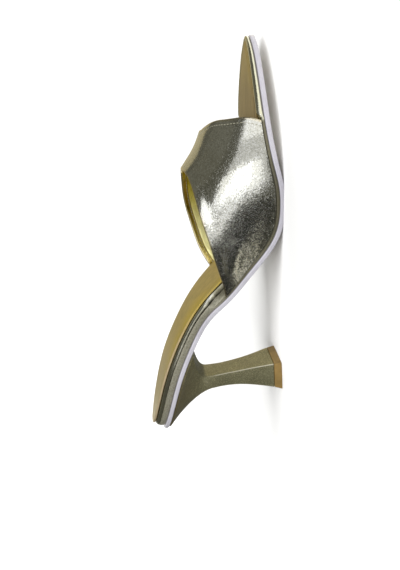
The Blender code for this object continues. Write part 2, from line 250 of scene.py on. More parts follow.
# %% Layer builder
def sole_layer(name, profile, slot, floor=None, lift=None):
    """profile gives the insets and heights of all rows at x on a side, and lift raises the top's inside."""
    turns = np.linspace(0, math.pi, SOLE_STEPS + 1)
    middle_x = (BACK_X + TIP_X) / 2 - FOOTBED_LENGTH / 2 * np.cos(turns)
    insets, inner_insets = profile(middle_x, OUTER)[0], profile(middle_x, INNER)[0]
    made = {"points": [], "rim": [], "across": [], "level": []}
    rings, sides, faces = [], [], []

    def add(*columns):
        """Keeps new points with their rim distance, share across and level, and returns their numbers."""
        start = sum(len(group) for group in made["points"])
        for key, values in zip(made, columns):
            made[key].append(values)
        return np.arange(start, start + len(columns[0]))

    for r, (inset, inner_inset) in enumerate(zip(insets, inner_insets)):
        (x, outer, _), (inner_x, _, inner) = outline(inset, turns), outline(inner_inset, turns)
        height, inner_height = profile(x, OUTER)[1][r], profile(inner_x, INNER)[1][r]
        ring = np.concatenate([on_sole(x, outer, height), on_sole(inner_x, inner, inner_height)[-2:0:-1]])
        side = np.concatenate([-np.ones(len(turns)), np.ones(len(turns) - 2)])
        rings.append(add(ring, np.zeros(len(ring)), side, np.full(len(ring), r / (len(insets) - 1))))
        sides.append((x, outer, inner, height, inner_x - x, inner_height - height))
    for low, high in zip(rings, rings[1:]):
        faces += np.stack([low, np.roll(low, -1), np.roll(high, -1), high], axis=1).tolist()
    for end, facing_up in ((0, False), (-1, True)):
        ring, (x, outer, inner, height, more_x, more_height) = rings[end], sides[end]
        lines = [[ring[0]] * 2]
        for i in range(1, SOLE_STEPS):
            places = cross_places(inner[i] - outer[i])
            inside = places[1:-1]
            near, over = np.minimum(inside, places[-1] - inside), inside / places[-1]
            rise = height[i] + more_height[i] * over
            if lift is not None and facing_up:
                rise = rise + lift(x[i], 2 * over - 1, near)
            line = add(on_sole(x[i] + more_x[i] * over, outer[i] + inside, rise), near, 2 * over - 1,
                       np.full(len(near), float(facing_up)))
            lines.append([ring[i], *line, ring[-i]])
        lines.append([ring[SOLE_STEPS]] * 2)
        faces += strip_faces(lines, facing_up)
    points = np.concatenate(made.pop("points"))
    if floor is not None:
        points[:, 2] = np.maximum(points[:, 2], floor)
    return closed_mesh(name, points, faces, slot, name.replace("_skin", ""),
                       **{key: np.concatenate(values) for key, values in made.items()})


# %% [markdown]
# The outsole is a thin sole cut from sheet. Its edge is trimmed square, sanded round at both arrises and
# painted a pale lilac white, so its profile is a rectangle with small round corners. The flat under the ball
# is where it meets the floor, so no point goes below zero.

# %% Outsole
OUTSOLE_EDGE = np.array([(0.9, 0.0), (0.25, 0.02), (0.02, 0.3), (-0.02, 1.0), (-0.02, 1.8),
                         (0.05, OUTSOLE_THICKNESS - 0.25), (0.45, OUTSOLE_THICKNESS)])


def outsole_profile(x, _side):
    rows = soften(OUTSOLE_EDGE)
    return rows[:, :1] + 0 * x, rows[:, 1:] - edge_depth(x)


outsole = sole_layer("outsole_skin", outsole_profile, "outsole", floor=0.0)

# %% [markdown]
# The footbed's board carries a foam pad, and silver leather is pulled round its side and lasted under it.
# Behind the upper the side is a full roll over a flat band, with a fine line pressed between them. Under
# the upper it steps back and leaves a narrow strip. Past the upper's toe edge it becomes a rim that frames
# the sock, a little further back on the inner side, because that edge slants. Three pieces would show seams
# that the shoe doesn't have, so one profile changes along the shoe, by shares that always add up to one.

# %% Covered board
HIDDEN_FROM, CORNER_BLEND = 66.5, 4.0
HIDDEN_TO, RIM_BLEND = {OUTER: 165.6, INNER: 162.0}, 3.0
STRIP_X = (50, 66, 95, 125, 150, 180)
STRIP_HEIGHT = (0.5, 0.5, 1.6, 1.8, 1.5, 1.2)
STRIP_SLOPE = 0.08
BOARD_SIDE = {
    "heel_inset":   (1.6, 1.15, 1.0, 1.45, 1.0, 1.15, 1.9, 3.1, 3.8),
    "heel_height":  (0.0, 0.12, 0.50, 0.54, 0.58, 0.74, 0.93, 1.0, 1.0),
    "under_inset":  (0.9, 0.9, 3.0, 3.1, 3.2, 3.3, 3.7, 4.3, 4.8),
    "under_height": (0.0, 0.30, 0.33, 0.45, 0.57, 0.70, 0.92, 1.0, 1.0),
    "toe_inset":    (1.4, 0.9, 0.7, 0.7, 0.75, 1.15, 2.0, 3.7, 4.1),
    "toe_height":   (0.0, 0.16, 0.46, 0.56, 0.66, 0.86, 0.99, 0.97, 0.0),
}


def side_weights(x, side):
    """Shares of the board's three side shapes: behind the upper, under it and at the toe."""
    past_corner = smooth_step(x, HIDDEN_FROM - CORNER_BLEND, HIDDEN_FROM)
    past_toe_edge = smooth_step(x, HIDDEN_TO[side], HIDDEN_TO[side] + RIM_BLEND)
    return 1 - past_corner, past_corner * (1 - past_toe_edge), past_toe_edge


def board_profile(x, side):
    weights = side_weights(x, side)
    column = {key: np.array(values)[:, None] for key, values in BOARD_SIDE.items()}
    low = OUTSOLE_THICKNESS + GAP - edge_depth(x)
    recess = -SOCK_THICKNESS - GAP
    under_rise = column["under_height"] * (recess - low)
    for i in (1, 2):
        under_rise[i] = np.interp(x, STRIP_X, STRIP_HEIGHT) + STRIP_SLOPE * (i - 1)
    toe_rise = column["toe_height"] * -low
    toe_rise[-1] = recess - low
    rises = (column["heel_height"] * (recess - low), under_rise, toe_rise)
    insets = sum(column[zone + "_inset"] * weight for zone, weight in zip(("heel", "under", "toe"), weights))
    heights = low + sum(rise * weight for rise, weight in zip(rises, weights))
    return soften(insets), soften(heights)


board = sole_layer("covered_board_skin", board_profile, "board_leather")

# %% [markdown]
# The sock is a thin sheet of soft gold leather, glued over the pad. It is a little fuller in its middle
# than at its edge, it dips where the heel rests, and a line is pressed into it just inside the edge. Bump
# could fake the line, but it has to catch the light along its whole length, so the mesh itself is lifted
# and pressed.

# %% Sock
sock_inset, _ = spline((-30, 20, 60, 90, 165, 190, 208), (2.0, 2.2, 2.6, 4.2, 4.8, 5.0, 4.8))
SOCK_EDGE = np.array([(0.0, -SOCK_THICKNESS), (0.0, -0.5), (0.05, -0.18), (0.3, -0.02), (0.7, 0.0)])
SOCK_CROWN, CROWN_EDGE = 0.28, 4.0
SEAT_DISH, SEAT_MIDDLE_X, SEAT_REACH = 0.45, 2.0, 22.0
PRESSED_PLACE, PRESSED_WIDTH, PRESSED_DEPTH = 1.7, 0.45, 0.11


def sock_profile(x, _side):
    rows = soften(SOCK_EDGE)
    return sock_inset(x) + rows[:, :1], rows[:, 1:] + 0 * x


def sock_lift(x, across, rim):
    crown = SOCK_CROWN * (1 - across ** 4) * smooth_step(rim, 0, CROWN_EDGE)
    seat = math.exp(-((x - SEAT_MIDDLE_X) / SEAT_REACH) ** 2)
    dish = SEAT_DISH * seat * (1 - across ** 2) ** 2
    pressed = PRESSED_DEPTH * np.exp(-((rim - PRESSED_PLACE) / PRESSED_WIDTH) ** 2)
    return crown - dish - pressed


sock = sole_layer("insole_skin", sock_profile, "insole_leather", lift=sock_lift)

# %% [markdown]
# The upper is one band of metallic leather pulled over a last. A sculpted mesh could follow it, but a last
# is a rule: at each place along the foot its section is an arch, a superellipse between the sole's two
# sides, as high as the instep there. So any point of the upper is a place along the foot and an angle
# round it, and its two free edges are lines in those two numbers.

# %% Last under the upper
UPPER_WALL = 1.6
UPPER_INSET = 0.8
INSTEP_SHIFT = 2.0
FEATHER_STEPS = 400
FULLNESS = 2.35
instep_z, _ = spline((60, 85, 103, 120, 130, 140, 148, 154, 162, 175),
                     (122, 100, 83.5, 68.5, 60.2, 52.4, 45.9, 42.1, 38.2, 29.9))
topline_x, _ = spline((0, 10, 22, 38, 55, 72, 90, 108, 125, 142, 159, 170, 180),
                      (65.5, 80, 96, 117.5, 133.5, 139.8, 140.5, 137.5, 127, 108.5, 87.5, 75, 64.5))
toe_edge_x, _ = spline((0, 12, 37, 65, 90, 115, 143, 168, 180),
                       (165.2, 167.0, 167.0, 165.4, 160.6, 159.6, 161.6, 162.6, 161.5))


def feather_line():
    """The upper's lower edge on each side, as sorted x with its height and half-widths."""
    x, outer, inner = outline(0.0, np.linspace(0, math.pi, FEATHER_STEPS))
    height = OUTSOLE_THICKNESS + 2 * GAP + np.interp(x, STRIP_X, STRIP_HEIGHT) - edge_depth(x)
    line = on_sole(x, 0 * x, height)
    return line[:, 0], line[:, 2], -outer - UPPER_INSET, inner - UPPER_INSET


FEATHER_X, FEATHER_Z, FEATHER_OUTER, FEATHER_INNER = feather_line()


def on_last(x, angle):
    """Points on the upper's outside: an arch over the foot, round by an angle from the outer side."""
    x, angle = np.broadcast_arrays(np.asarray(x, float), np.asarray(angle, float))
    cosine, sine = np.cos(angle), np.abs(np.sin(angle))
    outer, inner = np.interp(x, FEATHER_X, FEATHER_OUTER), np.interp(x, FEATHER_X, FEATHER_INNER)
    half, low = np.where(cosine > 0, outer, inner), np.interp(x, FEATHER_X, FEATHER_Z)
    y = -np.sign(cosine) * half * np.abs(cosine) ** (2 / FULLNESS) + INSTEP_SHIFT * sine
    return np.stack([x, y, low + (instep_z(x) - low) * sine], axis=-1)


def unit(vectors):
    return vectors / np.linalg.norm(vectors, axis=-1, keepdims=True)


def last_normal(x, angle):
    step = 0.01
    around = on_last(x, np.minimum(angle + step, math.pi)) - on_last(x, np.maximum(angle - step, 0.0))
    return unit(np.cross(on_last(x + step, angle) - on_last(x - step, angle), around))


peak = on_last(140.5, math.pi / 2)
print(f"last: {peak[2]:.1f} mm high at the back of the vamp's top")

# %% [markdown]
# The upper is a grid of columns round the foot, crowded at the sides, where the leather turns fastest. Near
# both free edges the rows are spaced by their distance square to the edge, because the topline crosses the
# arches at a slant, and a fold measured along the foot would get wider and narrower with it.

# %% Grid of the upper
UPPER_COLUMNS, COLUMN_CROWDING = 236, 0.06
EDGE_BAND, EDGE_ROWS = 5.0, 15
MIDDLE_ROWS = 78


def upper_grid():
    """x of every point, one row of the array for each column round the foot, and its edge distances."""
    shares = np.linspace(0, 1, UPPER_COLUMNS + 1)
    degrees = 180 * (shares - COLUMN_CROWDING * np.sin(2 * math.pi * shares) / math.pi)
    angle = np.radians(degrees)
    ends, slants = [], []
    for edge_x, inward in ((toe_edge_x, -1), (topline_x, 1)):
        x = edge_x(degrees)
        along_edge = unit(np.gradient(on_last(x, angle), axis=0))
        per_mm = (on_last(x + inward, angle) - on_last(x, angle))
        ends.append(x)
        slants.append(np.linalg.norm(np.cross(per_mm, along_edge), axis=1))
    front, back = ends
    band = np.linspace(0, EDGE_BAND, EDGE_ROWS)
    front_band = front[:, None] - band / slants[0][:, None]
    back_band = back[:, None] + band / slants[1][:, None]
    share = np.linspace(0, 1, MIDDLE_ROWS + 2)[1:-1]
    middle = front_band[:, -1:] * (1 - share) + back_band[:, -1:] * share
    x = np.concatenate([front_band, middle, back_band[:, ::-1]], axis=1)
    from_front = (front[:, None] - x) * slants[0][:, None]
    from_back = (x - back[:, None]) * slants[1][:, None]
    return x, angle[:, None] + 0 * x, from_front, from_back


UPPER_X, UPPER_ANGLE, FROM_FRONT, FROM_BACK = upper_grid()
NEAREST_EDGE = np.minimum(FROM_FRONT, FROM_BACK)
LAST_POINTS = on_last(UPPER_X, UPPER_ANGLE)
LAST_NORMALS = last_normal(UPPER_X, UPPER_ANGLE)
print(f"upper: {UPPER_X.shape[0]} columns of {UPPER_X.shape[1]} points")

# %% [markdown]
# A worn upper has a few soft creases, and noise would put them anywhere. These are placed one by one, each
# as a trough or a ridge along a short line on the last, given by the place and the angle of its two ends. On
# the outer side a ridge runs low along the sole, under a long shallow trough, and a second trough runs up
# and forward. The inner side has one of each. The turned edge at the toe adds a slightly raised band with
# a fine groove behind it. The topline is turned over without one.

# %% Creases and the turned edge
CREASES = (
    {"from": (112, 30), "to": (138, 48), "half_width": 5.0, "rise": -0.35},
    {"from": (74, 4), "to": (104, 14), "half_width": 5.5, "rise": 0.6},
    {"from": (86, 34), "to": (128, 24), "half_width": 5.0, "rise": -0.25},
    {"from": (112, 150), "to": (136, 132), "half_width": 5.0, "rise": -0.3},
    {"from": (98, 166), "to": (120, 158), "half_width": 3.4, "rise": 0.2},
)
CREASE_END_SHARE, CREASE_FADE = 0.04, 0.8
BAND_WIDTH, BAND_RISE = 2.6, 0.05
BAND_FADE_FROM, BAND_FADE_TO = BAND_WIDTH - 0.6, BAND_WIDTH + 0.3
GROOVE_DEPTH, GROOVE_HALF = 0.05, 0.3


def crease_rise(points):
    """Sum of the listed troughs and ridges at each point."""
    rise = np.zeros(points.shape[:-1])
    for crease in CREASES:
        start, end = (on_last(float(x), math.radians(a)) for x, a in (crease["from"], crease["to"]))
        along = end - start
        share = np.clip(((points - start) @ along) / (along @ along), 0, 1)
        off = np.linalg.norm(points - start - share[..., None] * along, axis=-1)
        fade = np.sin(math.pi * np.clip(share, CREASE_END_SHARE, 1 - CREASE_END_SHARE)) ** CREASE_FADE
        rise += crease["rise"] * fade * np.exp(-(off / crease["half_width"]) ** 2)
    return rise


def edge_rise(distance):
    """Raised band along an edge, and the groove behind it, at a distance from the edge."""
    band = BAND_RISE * (1 - smooth_step(distance, BAND_FADE_FROM, BAND_FADE_TO))
    groove = GROOVE_DEPTH * np.exp(-((distance - BAND_WIDTH) / GROOVE_HALF) ** 2)
    return band - groove


CREASE_RISE = crease_rise(LAST_POINTS)
print(f"creases: from {CREASE_RISE.min():.2f} to {CREASE_RISE.max():.2f} mm")

# %% [markdown]
# The wall is built as one loop for each column: out along the outside, round the fold at the topline, back
# along the inside and round the fold at the toe. A Solidify modifier gives square edges, where leather that
# is turned over ends in a round fold. Inside, the turned leather ends a little way in and the wall gets
# thinner there, which makes room for the lining.

# %% Upper wall
TURNED_WIDTH, TURNED_STEP = 3.3, 0.25
CREASE_FREE, CREASE_FULL = 1, 6
LINING_THICKNESS = 0.45
FOLD_STEPS = 7
FOLD_SHARE = 0.35


def fold_points(outer, inner, before):
    """Half round from the outside to the inside of an edge, over a share of the wall's thickness."""
    away = unit(outer - before) * UPPER_WALL * FOLD_SHARE
    turn = np.linspace(0, math.pi, FOLD_STEPS + 2)[1:-1]
    middle, half = (outer + inner) / 2, (outer - inner) / 2
    return (middle[:, None] + half[:, None] * np.cos(turn)[None, :, None]
            + away[:, None] * np.sin(turn)[None, :, None])


def loop_body(name, loops, slot, node=None, **attributes):
    """Closed body from one loop of points per column, its two ends closed between outside and inside."""
    columns, count = loops.shape[:2]
    place = np.arange(columns * count).reshape(columns, count)
    near, far = place[:-1], place[1:]
    quads = np.stack([near, far, np.roll(far, -1, axis=1), np.roll(near, -1, axis=1)], axis=-1)
    faces = quads.reshape(-1, 4).tolist()
    for column, flip in ((0, False), (columns - 1, True)):
        ring = place[column]
        low, high = 0, count - 1
        while high - low > 1:
            face = [ring[low], ring[low + 1], ring[high - 1], ring[high]]
            face = list(dict.fromkeys(face))
            faces.append(face[::-1] if flip else face)
            low, high = low + 1, high - 1
    return closed_mesh(name, loops.reshape(-1, 3), faces, slot, node, **attributes)


def make_upper():
    creases = CREASE_RISE * smooth_step(NEAREST_EDGE, CREASE_FREE, CREASE_FULL)
    rise = edge_rise(FROM_FRONT) + creases
    outside = LAST_POINTS + rise[..., None] * LAST_NORMALS
    thinner = smooth_step(NEAREST_EDGE, TURNED_WIDTH, TURNED_WIDTH + TURNED_STEP)
    depth = UPPER_WALL - LINING_THICKNESS * thinner
    inside = LAST_POINTS - depth[..., None] * LAST_NORMALS
    toe_fold = fold_points(outside[:, 0], inside[:, 0], outside[:, 1])
    top_fold = fold_points(outside[:, -1], inside[:, -1], outside[:, -2])
    half_fold = FOLD_STEPS // 2
    loops = np.concatenate([toe_fold[:, half_fold::-1], outside, top_fold, inside[:, ::-1],
                            toe_fold[:, :half_fold:-1]], axis=1)

    def on_edge(count):
        return np.zeros((len(loops), count))

    edge = np.concatenate([on_edge(half_fold + 1), NEAREST_EDGE, on_edge(FOLD_STEPS), NEAREST_EDGE[:, ::-1],
                           on_edge(FOLD_STEPS - half_fold - 1)], axis=1)
    inner = np.zeros(loops.shape[:2])
    inner[:, half_fold + 1 + outside.shape[1] + half_fold:-half_fold] = 1.0
    return loop_body("upper_leather", loops, "upper_leather", "upper",
                     edge=edge.ravel(), inner=inner.ravel())


upper = make_upper()

# %% [markdown]
# The inside is lined with bright gold leather. Painting the wall's inside gold would lose the fine shadow
# line where the turned edge ends and the lining starts, so the lining is its own thin sheet, laid inside the
# wall between the two turned edges and a little fuller beside them.

# %% Lining
LINING_CLEARANCE, LINING_MARGIN = 0.05, 0.12
LINING_START = TURNED_WIDTH + 0.2
LINING_SWELL, SWELL_ROWS = 0.12, 1.5


def make_lining():
    inside = (NEAREST_EDGE > LINING_START).all(axis=0)
    first, last = int(np.argmax(inside)), len(inside) - int(np.argmax(inside[::-1]))
    points, normals = LAST_POINTS[1:-1, first:last], LAST_NORMALS[1:-1, first:last]
    rows = np.arange(last - first)
    swell = LINING_SWELL * np.exp(-np.minimum(rows, rows[::-1]) / SWELL_ROWS)
    near_wall = UPPER_WALL - LINING_THICKNESS + LINING_CLEARANCE
    outer_face = points - near_wall * normals
    inner_face = points - (UPPER_WALL + LINING_MARGIN - swell)[None, :, None] * normals
    loops = np.concatenate([outer_face, inner_face[:, ::-1]], axis=1)
    return loop_body("upper_lining", loops, "upper_leather")


lining = make_lining()

# %% [markdown]
# A row of machine stitches holds each turned edge: at the toe it shows on both faces, at the topline only
# inside. One stitch is a short, slightly arched strand that dips into the leather at both ends, so it is
# modelled once, as a tapered tube.

# %% One stitch
STITCH_LENGTH, STITCH_GAP = 2.0, 0.45
THREAD_RADIUS = 0.17
STRAND_RINGS, STRAND_SIDES = 7, 8
STRAND_DIP, STRAND_END_SHARE = 0.14, 0.12


def strand_mesh():
    """One stitch lying along X: a tapered strand whose ends bend down into the leather."""
    rings, sides = STRAND_RINGS, STRAND_SIDES
    points, faces = [], []
    for i in range(rings):
        share = i / (rings - 1) * 2 - 1
        radius = THREAD_RADIUS * math.sqrt(max(STRAND_END_SHARE, 1 - share ** 4))
        middle = np.array([share * (STITCH_LENGTH - STITCH_GAP) / 2, 0, -STRAND_DIP * share ** 4])
        turn = np.linspace(0, 2 * math.pi, sides, endpoint=False)
        points += list(middle + radius * np.stack([0 * turn, np.cos(turn), np.sin(turn)], axis=1))
    for i in range(rings - 1):
        for k in range(sides):
            j = (k + 1) % sides
            faces.append((i * sides + j, (i + 1) * sides + j, (i + 1) * sides + k, i * sides + k))
    faces += [tuple(reversed(range(sides))), tuple((rings - 1) * sides + k for k in range(sides))]
    mesh = bpy.data.meshes.new("strand")
    mesh.from_pydata((np.array(points) * MM).tolist(), [], faces)
    mesh.shade_smooth()
    return bpy.data.objects.new("strand", mesh)


strand = strand_mesh()
print(f"one stitch: {STITCH_LENGTH - STITCH_GAP:.2f} mm long, {len(strand.data.polygons)} faces")

# %% [markdown]
# An Array modifier could repeat the strand, but it would stretch or end badly on a curved edge. A Geometry
# Nodes tree does it better: it resamples a path at the stitch length, sets one strand on every point,
# turned along the path, makes the strands real and gives them their thread.

# %% Stitch tree
def stitch_tree():
    """Geometry Nodes group: strands along every path of the input curve."""
    tree = bpy.data.node_groups.new("stitch_row", "GeometryNodeTree")
    for name, in_out, kind in (("Geometry", "INPUT", "Geometry"), ("Strand", "INPUT", "Object"),
                               ("Spacing", "INPUT", "Float"), ("Thread", "INPUT", "Material"),
                               ("Geometry", "OUTPUT", "Geometry")):
        tree.interface.new_socket(name, in_out=in_out, socket_type="NodeSocket" + kind)
    kinds = {
        "start": "NodeGroupInput", "resample": "GeometryNodeResampleCurve",
        "strand": "GeometryNodeObjectInfo", "tangent": "GeometryNodeInputTangent",
        "normal": "GeometryNodeInputNormal", "turn": "FunctionNodeAxesToRotation",
        "place": "GeometryNodeInstanceOnPoints", "real": "GeometryNodeRealizeInstances",
        "colour": "GeometryNodeSetMaterial", "end": "NodeGroupOutput"}
    made = {name: tree.nodes.new(kind) for name, kind in kinds.items()}
    made["resample"].mode = "LENGTH"
    made["turn"].primary_axis, made["turn"].secondary_axis = "X", "Z"
    for source, output, target, socket in (
            ("start", "Geometry", "resample", "Curve"), ("start", "Spacing", "resample", "Length"),
            ("start", "Strand", "strand", "Object"), ("tangent", "Tangent", "turn", "Primary Axis"),
            ("normal", "Normal", "turn", "Secondary Axis"), ("resample", "Curve", "place", "Points"),
            ("strand", "Geometry", "place", "Instance"), ("turn", "Rotation", "place", "Rotation"),
            ("place", "Instances", "real", "Geometry"), ("real", "Geometry", "colour", "Geometry"),
            ("start", "Thread", "colour", "Material"), ("colour", "Geometry", "end", "Geometry")):
        tree.links.new(made[source].outputs[output], made[target].inputs[socket])
    return tree


row_tree = stitch_tree()
print(f"stitch tree: {len(row_tree.nodes)} nodes, {len(row_tree.links)} links")

# %% [markdown]
# The paths are lines on the last at the band's width from a free edge, a little above the outside or under
# the inside. They are read off the upper's own grid, so the rows follow the edges wherever those go. The
# result is turned into a plain mesh, because a modifier's instances would be lost in an export.

# %% Stitch rows
STITCH_RISE_SHARE, STITCH_SINK = 0.35, 0.08
END_COLUMNS = 3


def stitch_paths():
    """Lines beside the free edges: on both faces at the toe, and on the inside only at the topline."""
    rise = THREAD_RADIUS * STITCH_RISE_SHARE
    outer_height, inner_height = rise - STITCH_SINK, -UPPER_WALL - rise
    paths = []
    for distance, heights in ((FROM_FRONT, (outer_height, inner_height)), (FROM_BACK, (inner_height,))):
        for height in heights:
            line = []
            for column in range(END_COLUMNS, len(UPPER_X) - END_COLUMNS):
                order = np.argsort(distance[column])
                x = np.interp(BAND_WIDTH, distance[column][order], UPPER_X[column][order])
                angle = UPPER_ANGLE[column, 0]
                line.append(on_last(x, angle) + height * last_normal(x, angle))
            paths.append(np.array(line))
    return paths


def make_stitches(thread):
    curve = bpy.data.curves.new("stitch_paths", "CURVE")
    curve.dimensions = "3D"
    for path in stitch_paths():
        path_spline = curve.splines.new("POLY")
        path_spline.points.add(len(path) - 1)
        path_spline.points.foreach_set("co", np.column_stack([path * MM, np.ones(len(path))]).ravel())
    guide = bpy.data.objects.new("stitch_guide", curve)
    bpy.context.scene.collection.objects.link(guide)
    modifier = guide.modifiers.new("stitches", "NODES")
    modifier.node_group = row_tree
    values = {"Strand": strand, "Spacing": STITCH_LENGTH * MM, "Thread": thread}
    for item in row_tree.interface.items_tree:
        if item.name in values and item.in_out == "INPUT":
            modifier[item.identifier] = values[item.name]
    bpy.context.view_layer.update()
    evaluated = guide.evaluated_get(bpy.context.evaluated_depsgraph_get())
    mesh = bpy.data.meshes.new_from_object(evaluated)
    mesh.name = "edge_stitches"
    bpy.data.objects.remove(guide, do_unlink=True)
    piece = bpy.data.objects.new("edge_stitches", mesh)
    bpy.context.scene.collection.objects.link(piece)
    print(f"stitches: {len(mesh.polygons)} faces")
    return piece


print("stitch paths:", ", ".join(f"{len(path)} points" for path in stitch_paths()))

# %% [markdown]
# The heel is a moulded core under a thin metallic cover. It rises with four crisp sides, each bowed a
# little, and is slimmest at the neck. A block with loop cuts would hold that shape, but sections at a few
# heights, joined by splines, keep its four corner lines smooth from the foot to the neck.

# %% Heel sections
TOP_PIECE_HEIGHT = 5.0
SIDE_STEPS = 16
HEEL_BOW = 0.4
HEEL_Z = (0, 5, 12, 19, 26, 34, 41, 46)
heel_front, _ = spline(HEEL_Z, (10.3, 9.8, 8.6, 7.4, 6.3, 5.3, 4.6, 4.3))
heel_back, _ = spline(HEEL_Z, (-10.0, -8.4, -7.0, -5.8, -4.8, -4.4, -4.6, -5.0))
heel_wide, _ = spline(HEEL_Z, (12.8, 12.0, 10.5, 9.3, 8.6, 8.1, 8.0, 8.3))
heel_narrow, _ = spline(HEEL_Z, (11.8, 11.1, 9.8, 8.8, 8.2, 7.8, 7.8, 8.1))


def heel_section(z):
    """Four-sided section at a height, sides bowed a little, from its front outer corner."""
    front, back, wide, narrow = (float(f(z)) for f in (heel_front, heel_back, heel_wide, heel_narrow))
    corners = [np.array(c) for c in ((front, -wide), (back, -narrow), (back, narrow), (front, wide))]
    points = []
    for start, end in zip(corners, corners[1:] + corners[:1]):
        along = end - start
        out = np.array([-along[1], along[0]]) / np.linalg.norm(along)
        for share in np.arange(SIDE_STEPS) / SIDE_STEPS:
            points.append(np.append(start + along * share + out * HEEL_BOW * 4 * share * (1 - share), z))
    return np.array(points)


neck = heel_section(HEEL_Z[-1])
print(f"neck: {np.ptp(neck[:, 0]):.1f} by {np.ptp(neck[:, 1]):.1f} mm at {HEEL_Z[-1]} mm")

# %% [markdown]
# At the top the heel flares into a cup that carries the seat. Its top edge follows the outsole's plan, drawn
# in a little, from the breast round the back. It has as many points as a section of the heel, in the same
# order, so that each of them can be joined to its own point below.

# %% Seat of the heel
BREAST_X, SEAT_CORNER_X = 33.0, -20.0
SEAT_INSET, SEAT_LIP_HEIGHT = 0.9, 1.2
SEAT_STEPS = 600


def seat_section(drop):
    """Edge of the heel's top, a drop below the outsole, in the order of the heel's sections."""
    turns = np.linspace(0, math.pi, SEAT_STEPS)
    x, outer, inner = outline(SEAT_INSET, turns)

    def side_points(values, half):
        return list(on_sole(values, np.interp(values, x, half), -edge_depth(values) - drop))

    along = np.linspace(BREAST_X, SEAT_CORNER_X, SIDE_STEPS + 1)
    corner_turn = float(np.interp(SEAT_CORNER_X, x, turns))
    round_back = np.interp(np.linspace(corner_turn, 0, SIDE_STEPS // 2 + 1), turns, x)
    points = side_points(along[:-1], outer) + side_points(round_back[:-1], outer)
    points += side_points(round_back[::-1][:-1], inner) + side_points(along[::-1][:-1], inner)
    start = side_points(np.array([BREAST_X]), inner)[0]
    end = side_points(np.array([BREAST_X]), outer)[0]
    points += [start + (end - start) * i / SIDE_STEPS for i in range(SIDE_STEPS)]
    return np.array(points)


print(f"seat: {np.ptp(seat_section(GAP)[:, 0]):.0f} mm long")

# %% [markdown]
# Rings that follow each other upwards are joined by quads. The heel's top follows the bent footbed, so one
# large face would not be flat: it is closed by strips straight across. Corners are real edges, and a Bevel
# modifier rounds them a little, which is what lets them catch a fine line of light.

# %% Rings, strips and corners
BEVEL_SEGMENTS, BEVEL_ANGLE = 3, math.radians(32)


def ring_faces(rings):
    """Quads between rings, and a bottom face. Rings follow each other upwards."""
    count = len(rings[0])
    place = np.arange(len(rings) * count).reshape(len(rings), count)
    low, high = place[:-1], place[1:]
    quads = np.stack([low, high, np.roll(high, -1, axis=1), np.roll(low, -1, axis=1)], axis=-1)
    return quads.reshape(-1, 4).tolist() + [place[0].tolist()], place


def seat_faces(top):
    """Faces of the heel's top as strips straight across, so that each is flat."""
    n = SIDE_STEPS
    outer = list(range(0, n + n // 2 + 1))
    inner = [(3 * n - i) % (4 * n) for i in range(n + n // 2 + 1)]
    faces = [(outer[0], outer[1], inner[1], inner[0]) + tuple(range(3 * n + 1, 4 * n))]
    faces += [(outer[i], outer[i + 1], inner[i + 1], inner[i]) for i in range(1, n + n // 2 - 1)]
    faces.append((outer[-2], outer[-1], inner[-2]))
    return [[int(top[i]) for i in reversed(face)] for face in faces]


def round_corners(piece, width):
    bevel = piece.modifiers.new("rounded corners", "BEVEL")
    bevel.width = width * MM
    bevel.segments = BEVEL_SEGMENTS
    bevel.limit_method = "ANGLE"
    bevel.angle_limit = BEVEL_ANGLE
    bevel.harden_normals = True


print(f"corners over {math.degrees(BEVEL_ANGLE):.0f} degrees are rounded")

# %% [markdown]
# Between neck and seat each point moves outwards and upwards by its own share. At the breast the share
# follows a quarter round, and at the back the slower curve of a trumpet, with a smooth change between. A
# corner of the shaft fades out in the cup, so how much of a corner is left is stored for the finish, which
# paints a highlight along it.

# %% Heel
SHAFT_RINGS, CUP_RINGS = 30, 34
TRUMPET_X, QUARTER_ROUND_X, TRUMPET_POWER = -12.0, 30.0, 1.6
CORNER_FADE_FROM, CORNER_FADE_TO = SHAFT_RINGS - 4, SHAFT_RINGS + 3
HEEL_CORNER = 0.6


def make_heel():
    levels = np.linspace(TOP_PIECE_HEIGHT + GAP, HEEL_Z[-1], SHAFT_RINGS)
    rings = [heel_section(z) for z in levels]
    seat = seat_section(GAP + SEAT_LIP_HEIGHT)
    forward = smooth_step(seat[:, 0], TRUMPET_X, QUARTER_ROUND_X)
    for u in np.arange(1, CUP_RINGS + 1) / CUP_RINGS:
        quarter = u * math.pi / 2
        out = (1 - math.cos(quarter)) * forward + u ** TRUMPET_POWER * (1 - forward)
        up = math.sqrt(math.sin(quarter)) * forward + u * (1 - forward)
        rings.append(neck + (seat - neck) * np.stack([out, out, up], axis=1))
    rings.append(seat_section(GAP))
    faces, place = ring_faces(rings)
    corner = np.zeros((len(rings), len(neck)))
    fade = smooth_step(np.arange(len(rings)), CORNER_FADE_FROM, CORNER_FADE_TO)
    corner[:, ::SIDE_STEPS] = 1 - fade[:, None]
    piece = closed_mesh("heel_cover", np.concatenate(rings), faces + seat_faces(place[-1]),
                        "heel_cover", "heel", corner=corner.ravel())
    round_corners(piece, HEEL_CORNER)
    return piece


heel = make_heel()

# %% [markdown]
# The top piece is the block of tan rubber that meets the floor. It carries on the heel's four sides, so it
# is made from the same sections and not from a box, and only its corners are a little sharper.

# %% Top piece
TOP_PIECE_RINGS, TOP_PIECE_CORNER = 6, 0.4


def make_top_piece():
    rings = [heel_section(z) for z in np.linspace(0.0, TOP_PIECE_HEIGHT, TOP_PIECE_RINGS)]
    faces, place = ring_faces(rings)
    piece = closed_mesh("top_piece_skin", np.concatenate(rings), faces + [place[-1][::-1].tolist()],
                        "top_piece", "top_piece")
    round_corners(piece, TOP_PIECE_CORNER)
    return piece


top_piece = make_top_piece()

# %% [markdown]
# A node tree is easier to read as arithmetic. Wire wraps one socket, and adding or multiplying wires adds
# the Math nodes. Two more words come back in every finish: a soft step, and a band between two soft steps.

